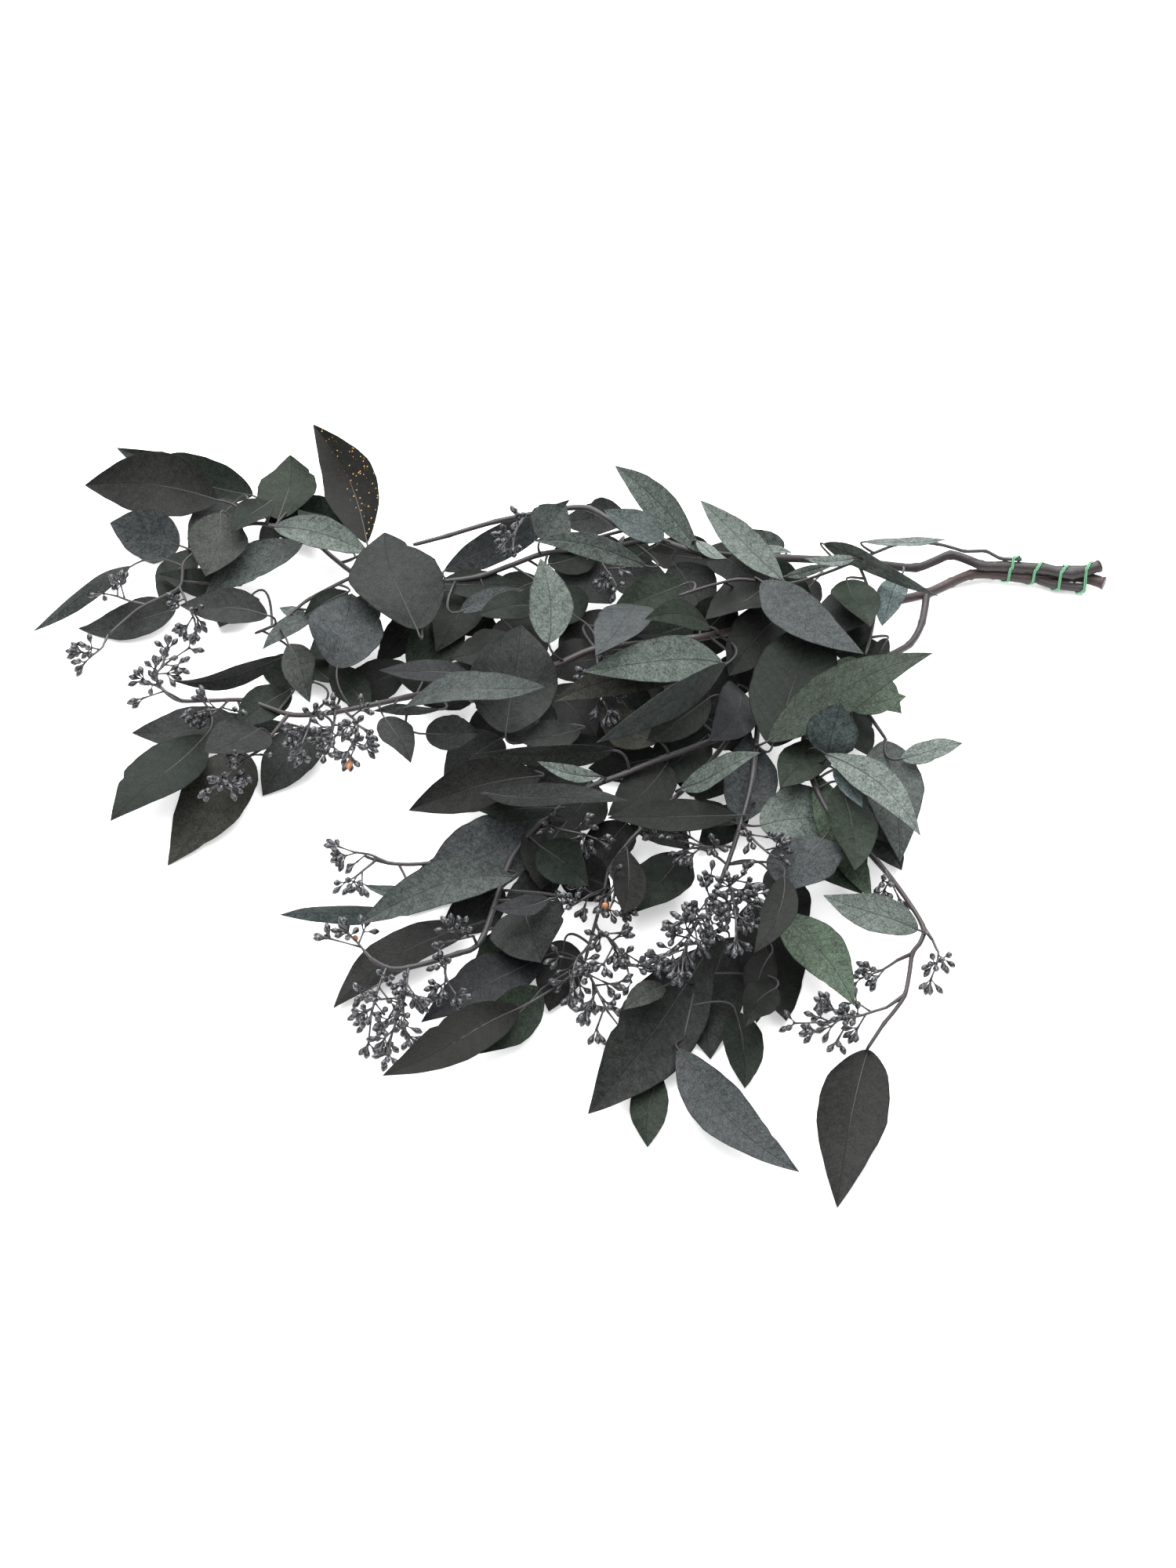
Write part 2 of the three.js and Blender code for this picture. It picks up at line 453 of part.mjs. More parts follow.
// Stalk of one spray: a spur on the stem and, beyond a small gap, the points of the stalk itself.
function addStalk(places, number) {
  const name = `nut_spray_${String(number + 1).padStart(2, '0')}`;
  const points = places.map(place);
  const root = stemsByNearness(points[0])[0];
  const outward = points[1].clone().sub(root.point).normalize();
  const spurEnd = root.point.clone().addScaledVector(outward, root.radius + SPUR_LENGTH);
  stemSolids[root.stem].push(taperedTube([root.point, spurEnd], STALK_RADIUS, STALK_RADIUS, SPUR_SIDES));
  takeSpace(root.stem, 'stem', [ball(spurEnd, STALK_RADIUS + STEM_ROOM)]);
  const stalk = [spurEnd.clone().addScaledVector(outward, SPUR_GAP), ...points.slice(1)];
  takeSpace(name, 'spray', evenRun(stalk, RUN_STEPS).map((point) => ball(point, SPRAY_ROOM)));
  return { name, stalk };
}

// One spray: its stalk with nuts fanning out at even steps, turning round the stalk.
function spraySolids({ name, stalk }, number) {
  const draw = seededDraws(FIRST_SPRAY_SEED + number);
  const curve = new THREE.CurvePath();
  stalk.slice(1).forEach((next, k) => curve.add(new THREE.LineCurve3(stalk[k], next)));
  const umbels = Math.max(1, Math.round(curve.getLength() / UMBEL_SPACING));
  const solids = [taperedTube(stalk, STALK_RADIUS, STALK_TIP_RADIUS, SPUR_SIDES)];
  let side = draw(FULL_TURN);
  for (let umbel = 1; umbel <= umbels; umbel += 1) {
    const share = (umbel - 0.1) / umbels;
    side += GOLDEN_TURN;
    solids.push(...addUmbel(name, curve.getPointAt(share), curve.getTangentAt(share), side, draw));
  }
  return solids;
}

// Unit vector at a lean from an axis, turned round it by an angle.
function leaning(axis, lean, angle) {
  const helper = Math.abs(axis.z) < 0.9 ? new THREE.Vector3(0, 0, 1) : new THREE.Vector3(1, 0, 0);
  const across = helper.cross(axis).normalize();
  const over = axis.clone().cross(across);
  return axis.clone().multiplyScalar(Math.cos(lean))
    .addScaledVector(across, Math.sin(lean) * Math.cos(angle))
    .addScaledVector(over, Math.sin(lean) * Math.sin(angle));
}

// A side stalk that leans out from a stalk, and nuts that fan out from its end.
// A nut that would touch a neighbour is left out.
function addUmbel(name, foot, along, side, draw) {
  const out = leaning(along, UMBEL_LEAN, side);
  const hub = foot.clone().addScaledVector(out, PEDUNCLE_LENGTH);
  const first = draw(FULL_TURN);
  const solids = [];
  for (let nut = 0; nut < NUTS_IN_UMBEL; nut += 1) {
    const axis = leaning(out, draw(NUT_LEAN), first + (2 * Math.PI * nut) / NUTS_IN_UMBEL);
    const balls = NUT_SAMPLES.map((share) => (
      ball(hub.clone().addScaledVector(axis, share * CLUB_LENGTH), share * NUT_ROOM)));
    const clearOfTable = balls.every(([, , z]) => z > NUT_RADIUS + TABLE_GAP);
    if (clearOfTable && isFree(balls, (other) => other.owner !== name)) {
      takeSpace(name, 'spray', balls);
      solids.push(nutSolid(hub, axis));
    }
  }
  if (solids.length > 0) {
    const stalkEnd = hub.clone().addScaledVector(out, PEDUNCLE_RADIUS);
    solids.push(taperedTube([foot, stalkEnd], PEDUNCLE_RADIUS, PEDUNCLE_RADIUS, SPUR_SIDES));
  }
  return solids;
}

// A gum nut on its stalk: a three-sided club, widest under its blunt cap.
function nutSolid(foot, axis) {
  return loft(CLUB_PROFILE.map(([share, width]) => Array.from({ length: NUT_SIDES }, (_, side) => {
    const outward = leaning(axis, Math.PI / 2, (2 * Math.PI * side) / NUT_SIDES);
    return foot.clone().addScaledVector(axis, share * CLUB_LENGTH)
      .addScaledVector(outward, width * NUT_RADIUS);
  })));
}

// Half width of a blade along its midrib, as a share of the widest half width.
function bladeOutline({ length, half, widest }, along) {
  const bend = Math.log(0.5) / Math.log(widest);
  const slender = THREE.MathUtils.inverseLerp(...SLENDERNESS, (0.5 * length) / half);
  const basePower = THREE.MathUtils.lerp(...BASE_POWER, THREE.MathUtils.clamp(slender, 0, 1));
  const power = THREE.MathUtils.lerp(basePower, TIP_POWER, along);
  return Math.max(Math.sin(Math.PI * along ** bend), 0) ** power;
}

// A blade between a base and a tip: its chord frame, rolled from facing the viewer by an angle,
// wide enough to show the width that is seen.
function makeBlade(base, tip, widthSeen, rollShift, draw) {
  const chord = tip.clone().sub(base);
  const length = chord.length();
  const along = chord.clone().normalize();
  const facing = TOWARDS_VIEWER.clone().addScaledVector(along, -along.dot(TOWARDS_VIEWER)).normalize();
  const upward = new THREE.Vector3(0, 0, 1).addScaledVector(along, -along.z).normalize();
  const toUpward = Math.atan2(along.dot(facing.clone().cross(upward)), facing.dot(upward));
  const wanted = FACING_SHARE * toUpward + draw(DRAWN_ROLL) + rollShift;
  let roll = THREE.MathUtils.clamp(wanted, -ROLL_LIMIT, ROLL_LIMIT);
  const sign = Math.sign(draw(EITHER_WAY));
  if (widthSeen / Math.cos(roll) < NARROWEST_BLADE * length) {
    roll = sign * Math.acos(Math.min(widthSeen / (NARROWEST_BLADE * length), Math.cos(rollShift)));
  }
  const normal = facing.applyAxisAngle(along, roll);
  const side = along.clone().cross(normal);
  return {
    base, chord, length, side, normal,
    half: (0.5 * widthSeen) / Math.cos(roll),
    bow: draw(DRAWN_BOW),
    arch: draw(DRAWN_ARCH),
    fold: draw(DRAWN_FOLD),
    twist: draw(DRAWN_TWIST),
    widest: draw(DRAWN_WIDEST),
    ripple: draw(DRAWN_RIPPLE),
    phase: draw(FULL_TURN),
    wave: draw(DRAWN_WAVE),
  };
}

// Point of a blade: along runs 0 to 1 from base to tip and across -1 to 1 between the edges.
// What would dip below the table lies flat on it.
function bladePoint(blade, along, across) {
  const swell = 4 * along * (1 - along) * blade.length;
  const turn = blade.twist * (along - 0.5);
  const half = blade.half * bladeOutline(blade, along);
  const reach = across * half;
  const lift = half * (blade.fold * Math.abs(across) ** FOLD_POWER
    + blade.ripple * across * Math.sin(RIPPLE_WAVES * along + blade.phase));
  const sideways = reach * Math.cos(turn) - lift * Math.sin(turn) + blade.bow * swell;
  const wave = blade.wave * blade.length * Math.sin(2 * Math.PI * along);
  const upwards = reach * Math.sin(turn) + lift * Math.cos(turn) + blade.arch * swell + wave;
  const point = blade.base.clone().addScaledVector(blade.chord, along)
    .addScaledVector(blade.side, sideways).addScaledVector(blade.normal, upwards);
  return point.setZ(Math.max(point.z, BLADE_THICKNESS / 2));
}

// Balls spread over a blade and along its petiole.
function bladeBalls(blade) {
  const rows = Math.ceil(blade.length / SAMPLE_STEP);
  const columns = Math.max(2, Math.ceil((2 * blade.half) / SAMPLE_STEP));
  const balls = [];
  for (let row = 0; row <= rows; row += 1) {
    for (let column = 0; column <= columns; column += 1) {
      const point = bladePoint(blade, row / rows, (2 * column) / columns - 1);
      balls.push(ball(point, LEAF_ROOM));
    }
  }
  return balls;
}

function petioleRun(root, blade, steps) {
  const lead = blade.chord.clone().normalize();
  const reach = 0.5 * root.distanceTo(blade.base);
  const elbow = blade.base.clone().addScaledVector(lead, -reach);
  return new THREE.QuadraticBezierCurve3(root, elbow, blade.base).getPoints(steps);
}

// Petiole and blade as one solid. A ring has the columns of the blade over and under it:
// both edges, and the midrib too on a broad leaf.
function leafSolid(root, blade, deep) {
  const broad = blade.half > BROAD_HALF_WIDTH && !deep;
  const shallow = broad ? BLADE_STATIONS : NARROW_STATIONS;
  const stations = deep ? DEEP_STATIONS : shallow;
  const columns = broad ? [-1, 0, 1] : [-1, 1];
  const lead = blade.chord.clone().normalize();
  const stalk = petioleRun(root, blade, root.distanceTo(blade.base) > LONG_PETIOLE ? 2 : 1);
  const [left, right, under] = PETIOLE_SECTION;
  const section = broad ? [left, right, right, under, under, left] : [left, right, under, under];
  const rings = stalk.slice(0, -1).map((point, k) => {
    const heading = stalk[k + 1].clone().sub(point).normalize();
    const turn = new THREE.Quaternion().setFromUnitVectors(lead, heading);
    const side = blade.side.clone().applyQuaternion(turn).multiplyScalar(PETIOLE_RADIUS);
    const over = blade.normal.clone().applyQuaternion(turn).multiplyScalar(PETIOLE_RADIUS);
    return section.map(([a, b]) => point.clone().addScaledVector(side, a).addScaledVector(over, b));
  });
  stations.forEach((along) => {
    const over = blade.normal.clone().multiplyScalar(BLADE_THICKNESS / 2);
    const neck = along === 0 ? PETIOLE_RADIUS : 0;
    const row = columns.map((across) => (
      bladePoint(blade, along, across).addScaledVector(blade.side, across * neck)));
    const upper = row.map((point) => point.clone().add(over));
    const lower = row.map((point) => point.clone().sub(over));
    upper.forEach((point) => point.setZ(Math.max(point.z, BLADE_THICKNESS)));
    lower.forEach((point, k) => point.setZ(row[k].z > BLADE_THICKNESS / 2 ? Math.max(point.z, 0) : 0));
    rings.push([...upper, ...lower.reverse()]);
  });
  return loft(rings, broad ? [3, 4] : [2]);
}

// Petiole and blade of one leaf on one stem at one height and roll, or null where there is no room.
// Close to its own stem's other leaves it is let through only where strict is false.
function leafAt({ stem, ends, tipHeight, widthSeen, number }, shift, roll, strict) {
  const level = nearestOnStem(stem, place([...ends[0], tipHeight])).point.z;
  const rise = THREE.MathUtils.clamp(tipHeight - level, -BASE_RISE, BASE_RISE);
  const base = place([...ends[0], Math.max(level + rise + BASE_SHARE * shift, LOWEST_BASE)]);
  const tip = place([...ends[1], tipHeight + shift]);
  if (tip.z < TIP_RANGE[0] || tip.z > TIP_RANGE[1]) {
    return null;
  }
  const blade = makeBlade(base, tip, widthSeen, roll, seededDraws(number));
  blade.bow = LEAF_BOWS[number] ?? blade.bow;
  const root = nearestOnStem(stem, base).point;
  const balls = bladeBalls(blade);
  const stalkBalls = petioleRun(root, blade, RUN_STEPS).map((point) => (
    ball(point, PETIOLE_RADIUS + STEM_ROOM)));
  const others = (other) => other.owner !== stem;
  const crossing = (other) => others(other) || other.kind === 'leaf';
  if (!isFree(stalkBalls, others) || !isFree(balls, strict ? crossing : others)) {
    return null;
  }
  takeSpace(stem, 'leaf', balls);
  takeSpace(stem, 'petiole', stalkBalls);
  return leafSolid(root, blade, number >= FIRST_DEEP_LEAF);
}

// One leaf: the first free height and roll on the nearest stem, or failing that on the next one.
function addLeaf([baseAcross, baseDown, tipAcross, tipDown, seenWidth, layer, ownStem], number) {
  const ends = [[baseAcross, baseDown], [tipAcross, tipDown]];
  const tipHeight = layer * pileHeight(tipAcross, tipDown);
  const widthSeen = seenWidth * VIEW_SCALE;
  const near = stemsByNearness(place([...ends[0], tipHeight]));
  const stems = near.filter(({ stem, distance }) => (
    ownStem ? stem === ownStem : distance < near[0].distance + STEM_REACH));
  const shifts = Array.from({ length: 2 * HEIGHT_TRIES + 1 }, (_, attempt) => (
    HEIGHT_STEP * Math.ceil(attempt / 2) * (attempt % 2 ? 1 : -1)));
  for (const strict of [true, false]) {
    for (const { stem } of stems) {
      for (const shift of shifts) {
        for (const roll of ROLL_TRIES) {
          const wanted = { stem, ends, tipHeight, widthSeen, number };
          const found = leafAt(wanted, shift, THREE.MathUtils.degToRad(roll), strict);
          if (found) {
            stemSolids[stem].push(found);
            return;
          }
        }
      }
    }
  }
}

// Axis point and radius of a route where it crosses a plane of constant X, from its end of greater X.
function routeAt({ run, radii }, x) {
  const k = Math.max(run.findIndex((point) => point.x < x), 1);
  const share = THREE.MathUtils.clamp((x - run[k - 1].x) / (run[k].x - run[k - 1].x), 0, 1);
  return { centre: run[k - 1].clone().lerp(run[k], share), radius: radii[k] };
}

// The string: wound round the stems' common outline while it moves along them. In each direction
// it touches the stem that reaches furthest out, and it runs straight from one stem to the next.
function stringSolid() {
  const from = place([TIE_SPAN[0], ...TIE_MIDDLE]).x;
  const to = place([TIE_SPAN[1], ...TIE_MIDDLE]).x;
  const steps = Math.round(STEPS_TO_A_TURN * STRING_TURNS);
  const tied = TIED_ROUTES.map(([stem, number]) => (
    routes.find((route) => route.stem === stem && route.number === number)));
  const wound = Array.from({ length: steps + 1 }, (_, step) => {
    const x = THREE.MathUtils.lerp(from, to, step / steps);
    const angle = (2 * Math.PI * step) / STEPS_TO_A_TURN + FIRST_STRING_ANGLE;
    const outward = new THREE.Vector3(0, Math.cos(angle), Math.sin(angle));
    const crossed = tied.filter(({ run }) => run[0].x >= x && run.at(-1).x <= x);
    const reaches = crossed.map((route) => {
      const { centre, radius } = routeAt(route, x);
      const point = centre.addScaledVector(outward, radius + STRING_GAP + STRING_RADIUS);
      return { route, point: point.setX(x), reach: point.dot(outward) };
    });
    return reaches.reduce((furthest, one) => (one.reach > furthest.reach ? one : furthest));
  });
  const needed = wound.filter(({ route }, step) => {
    const neighbours = [wound[Math.max(step - 1, 0)], wound[Math.min(step + 1, steps)]];
    return step % STEPS_TO_A_BEND === 0 || step === steps || neighbours.some((one) => one.route !== route);
  });
  return taperedTube(needed.map(({ point }) => point), STRING_RADIUS, STRING_RADIUS, STRING_SIDES);
}

// Solids joined in one body: its outer shell, with any hollow that joining seals filled.
function joined(solids) {
  const shells = wasm.Manifold.union(solids).decompose();
  return shells.reduce((outer, shell) => (shell.volume() > outer.volume() ? shell : outer));
}

function meshOf(name, body, color, roughness) {
  const { vertProperties, triVerts } = body.getMesh();
  const geometry = new THREE.BufferGeometry();
  geometry.setAttribute('position', new THREE.BufferAttribute(new Float32Array(vertProperties), 3));
  geometry.setIndex(new THREE.BufferAttribute(new Uint32Array(triVerts), 1));
  const mesh = new THREE.Mesh(geometry, new THREE.MeshStandardMaterial({ color, roughness, metalness: 0 }));
  mesh.name = name;
  return mesh;
}

const bunch = new THREE.Group();
bunch.name = 'eucalyptus_bunch';

bunch.add(meshOf('tie_string', stringSolid(), STRING_GREEN, 0.8));

const stalks = SPRAYS.map(addStalk);

LEAVES.forEach(addLeaf);

stalks.forEach((spray, number) => {
  bunch.add(meshOf(spray.name, joined(spraySolids(spray, number)), NUT_GREY, 0.55));
});

for (const [stem, solids] of Object.entries(stemSolids)) {
  bunch.add(meshOf(`leafy_stem_${stem}`, joined(solids), LEAF_GREEN, 0.75));
}

export default bunch;
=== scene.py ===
"""A tied bunch of preserved eucalyptus lying on a pale floor: leaves, stems, gum nut sprays and string.

The plant is laid out in millimetres by the same rule as the solids, then turned into metres when a
mesh is made. X runs along the bunch to the tied ends, Z is up.
"""

import math

import bpy
import numpy as np
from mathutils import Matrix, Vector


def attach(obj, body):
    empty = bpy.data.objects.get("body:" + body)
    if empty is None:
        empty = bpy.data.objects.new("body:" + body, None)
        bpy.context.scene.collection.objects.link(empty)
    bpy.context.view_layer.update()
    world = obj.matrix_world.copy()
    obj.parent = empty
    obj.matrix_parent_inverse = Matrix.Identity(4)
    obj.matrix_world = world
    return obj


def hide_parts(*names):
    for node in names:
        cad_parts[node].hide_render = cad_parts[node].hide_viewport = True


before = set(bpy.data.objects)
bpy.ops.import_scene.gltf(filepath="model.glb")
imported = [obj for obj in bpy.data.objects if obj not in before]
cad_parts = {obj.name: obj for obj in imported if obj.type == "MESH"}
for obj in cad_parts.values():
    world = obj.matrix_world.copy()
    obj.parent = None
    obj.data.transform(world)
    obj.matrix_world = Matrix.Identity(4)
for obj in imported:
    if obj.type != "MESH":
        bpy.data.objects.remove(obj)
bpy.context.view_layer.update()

MM = 0.001

# The view that the places below are read in: points across and down, heights in millimetres.
VIEW_ELEVATION = math.radians(48)
VIEW_DISTANCE = 1900.0
VIEW_SCALE = 0.44
VIEW_MIDDLE = (750.0, 1000.0)
VIEW_HEIGHT = 2000.0
FOOTPRINT_MIDDLE = np.array([-8.8, -4.4, 0.0])
TOWARDS_VIEWER = np.array([0.0, -math.cos(VIEW_ELEVATION), math.sin(VIEW_ELEVATION)])
FOCAL = VIEW_DISTANCE / VIEW_SCALE
UP = np.array([0.0, 0.0, 1.0])
AHEAD = np.array([1.0, 0.0, 0.0])
NEARLY_UPRIGHT = 0.9

# Height of the pile of foliage, and the free space that leaves, stems and nuts keep.
PILE_MIDDLE = (830, 860)
PILE_SPREAD = (330, 230)
PILE_EDGE = 35
PILE_RISE = 60
SAMPLE_STEP = 4.4
LEAF_ROOM = 2.0
STEM_ROOM = 0.7
NUT_ROOM = 2.2
NUT_SAMPLES = np.array([0.45, 0.75, 1.0])
SPRAY_ROOM = 4.5
NEIGHBOUR_REACH = 7
RUN_STEPS = 8
HEIGHT_STEP = 5
HEIGHT_TRIES = 8
TIP_RANGE = (-1, 102)
LOWEST_BASE = 2
BASE_RISE = 12
BASE_SHARE = 0.5  # of a leaf's shift in height that its base follows
STEM_REACH = 30
ROLL_TRIES = (0, 22, -22)
BLADE_FLOOR = 0.35
PETIOLE_RADIUS = 0.5
NARROWEST_BLADE = 0.24

# Repeatable draws, and the limits that each leaf's own shape is drawn between.
SEED_FACTOR = 7919
DRAW_FACTOR = 16807
DRAW_MODULUS = 2147483647
DRAWN_ROLL = (-0.3, 0.3)
DRAWN_BOW = (-0.08, 0.08)
DRAWN_ARCH = (-0.035, 0.065)
DRAWN_FOLD = (0.04, 0.22)
DRAWN_TWIST = (-0.35, 0.35)
DRAWN_WIDEST = (0.38, 0.48)
DRAWN_RIPPLE = (0, 0.1)
DRAWN_WAVE = (-0.03, 0.03)
FULL_TURN = (0, 2 * math.pi)
BLADE_DRAWS = (("bow", DRAWN_BOW), ("arch", DRAWN_ARCH), ("fold", DRAWN_FOLD), ("twist", DRAWN_TWIST),
               ("widest", DRAWN_WIDEST), ("ripple", DRAWN_RIPPLE), ("phase", FULL_TURN), ("wave", DRAWN_WAVE))
ROLL_LIMIT = 0.9
FACING_SHARE = 0.5  # how far a leaf turns from the viewer towards the sky
FOLD_POWER = 1.8
RIPPLE_WAVES = 9
BASE_POWER = (0.6, 0.95)
SLENDERNESS = (1.1, 2.8)
TIP_POWER = 0.95

# Sprays: a short spur on the stem, a stalk, and side stalks with a fan of nuts at each end.
SPUR_LENGTH = 5
SPUR_GAP = 0.4
STALK_RADIUS = 0.9
UMBEL_SPACING = 18
UMBEL_LEAN = 0.9
NUT_LEAN = (0.45, 0.75)
NUTS_IN_UMBEL = 3
CLUB_LENGTH = 10.0
PEDUNCLE_LENGTH = 6.5
NUT_RADIUS = 1.8
GOLDEN_TURN = 2.4
FIRST_SPRAY_SEED = 500

# String: turns round the tied routes, and the stretch of the view that they cover.
STRING_TURNS = 3.7
STEPS_TO_A_TURN = 48
FIRST_STRING_ANGLE = 0.6
TIED_ROUTES = (("brown", 0), ("brown", 8), ("dark", 0), ("front", 0), ("thin", 0))
TIE_SPAN = (1392, 1277)
TIE_MIDDLE = (740, 6)

# Routes of each stem: first radius, last radius, then [across, down, height] places.
STEMS = {
    "brown": [
        (3.6, 1.0, [(1408, 744, 5.8), (1386, 737, 5.6), (1361, 735, 5.5), (1309, 737, 5.6),
                    (1267, 732, 6.2), (1238, 733, 7.8), (1213, 743, 9.5), (1182, 757, 12),
                    (1121, 771, 16), (1040, 790, 24), (960, 800, 32), (880, 815, 38), (760, 828, 40),
                    (705, 850, 38), (600, 872, 32), (520, 889, 27), (428, 908, 22), (368, 911, 19),
                    (312, 893, 18), (232, 894, 14), (205, 876, 12)]),
        (1.2, 0.9, [(368, 911, 19), (332, 956, 14)]),
        (1.6, 0.9, [(705, 850, 38), (679, 943, 30), (647, 1003, 24), (600, 1085, 16), (548, 1101, 13),
                    (497, 1101, 11), (465, 1092, 10)]),
        (2.2, 1.0, [(1182, 757, 12), (1176, 794, 16), (1160, 822, 19), (1129, 840, 23), (1080, 880, 28),
                    (1030, 930, 30), (1030, 975, 28), (1060, 1040, 24), (1119, 1099, 20),
                    (1177, 1181, 18), (1164, 1216, 17), (1154, 1269, 15), (1128, 1305, 10),
                    (1106, 1338, 5)]),
        (1.2, 0.9, [(1177, 1181, 18), (1190, 1200, 18)]),
        (1.2, 0.9, [(1164, 1216, 17), (1142, 1226, 17)]),
        (1.2, 0.9, [(1154, 1269, 15), (1131, 1285, 15)]),
        (1.2, 0.9, [(1080, 880, 28), (1110, 915, 28), (1130, 943, 26)]),
        (2.6, 2.4, [(1384, 750, 4.7), (1345, 746, 4.8), (1322, 739, 5.4)]),
    ],
    "dark": [
        (3.4, 1.2, [(1402, 722, 13), (1368, 731.5, 13.1), (1332, 725.5, 13), (1281, 722, 13.1),
                    (1252, 721, 13.8), (1212, 708, 15.7), (1168, 724, 18), (1090, 716, 24),
                    (1000, 712, 34), (900, 706, 44), (840, 688, 48), (798, 676, 50), (752, 649, 50),
                    (706, 651, 50), (633, 665, 48), (572, 683, 44), (527, 695, 42)]),
        (1.7, 0.9, [(840, 688, 48), (760, 700, 42), (690, 707, 38), (612, 735, 34), (530, 742, 30),
                    (455, 733, 28), (400, 690, 27), (350, 671, 26), (310, 670, 25), (262, 696, 22),
                    (234, 719, 20), (229, 749, 18), (179, 775, 14), (138, 810, 11)]),
        (1.1, 0.9, [(455, 733, 28), (393, 765, 20), (360, 792, 16), (325, 808, 14)]),
        (1.1, 0.9, [(798, 676, 50), (744, 690, 56)]),
    ],
    "thin": [
        (1.1, 0.9, [(1303, 713.5, 17.3), (1276, 712, 17.4), (1257, 703, 20), (1230, 703, 23),
                    (1196, 694, 26.5), (1146, 694, 30), (1093, 715, 36), (1010, 744, 46), (941, 739, 54),
                    (865, 760, 60)]),
        (1.0, 0.8, [(1093, 715, 36), (1115, 777, 40), (1104, 835, 40)]),
    ],
    "front": [
        (2.3, 1.3, [(1388, 726, 4.2), (1361, 726, 4.2), (1300, 728, 4.2), (1262, 727, 4.2),
                    (1213, 741, 2.8), (1182, 755, 3), (1121, 773, 4.5), (1100, 787, 6.5), (1040, 838, 13),
                    (968, 905, 22), (937, 933, 26), (844, 968, 34), (797, 987, 36), (740, 1010, 34),
                    (690, 1050, 28), (650, 1100, 22), (616, 1195, 20), (585, 1216, 20), (521, 1234, 20),
                    (493, 1234, 19), (472, 1222, 18)]),
        (1.6, 0.9, [(968, 905, 22), (960, 990, 28), (945, 1050, 26), (925, 1110, 22), (905, 1160, 18),
                    (895, 1220, 14), (872, 1325, 8)]),
        (1.5, 0.9, [(937, 933, 26), (890, 990, 30), (851, 1026, 30), (806, 1070, 27), (777, 1109, 24),
                    (771, 1134, 22), (745, 1230, 13)]),
    ],
}

# Leaf tones as the eye reads them, and the letter that each leaf row names its tone by. Besides the leaves'
# own colours, the tones hold painted light and shade: pale ones where a leaf faces the light or shows a
# sheen, dark ones for leaves in shade deep in the pile.
LEAF_TONES_AND_PAINTED_LIGHT = {
    "c": (45, 45, 44), "d": (38, 46, 40), "k": (36, 39, 36), "s": (52, 55, 53), "g": (66, 70, 66),
    "m": (48, 58, 48), "l": (86, 100, 85), "f": (90, 106, 90), "y": (112, 122, 116), "p": (126, 136, 131),
    "b": (76, 81, 82), "t": (86, 97, 96), "e": (112, 126, 126), "w": (66, 66, 60), "n": (84, 91, 89),
    "v": (48, 49, 52), "o": (31, 32, 28), "h": (70, 80, 69),
}

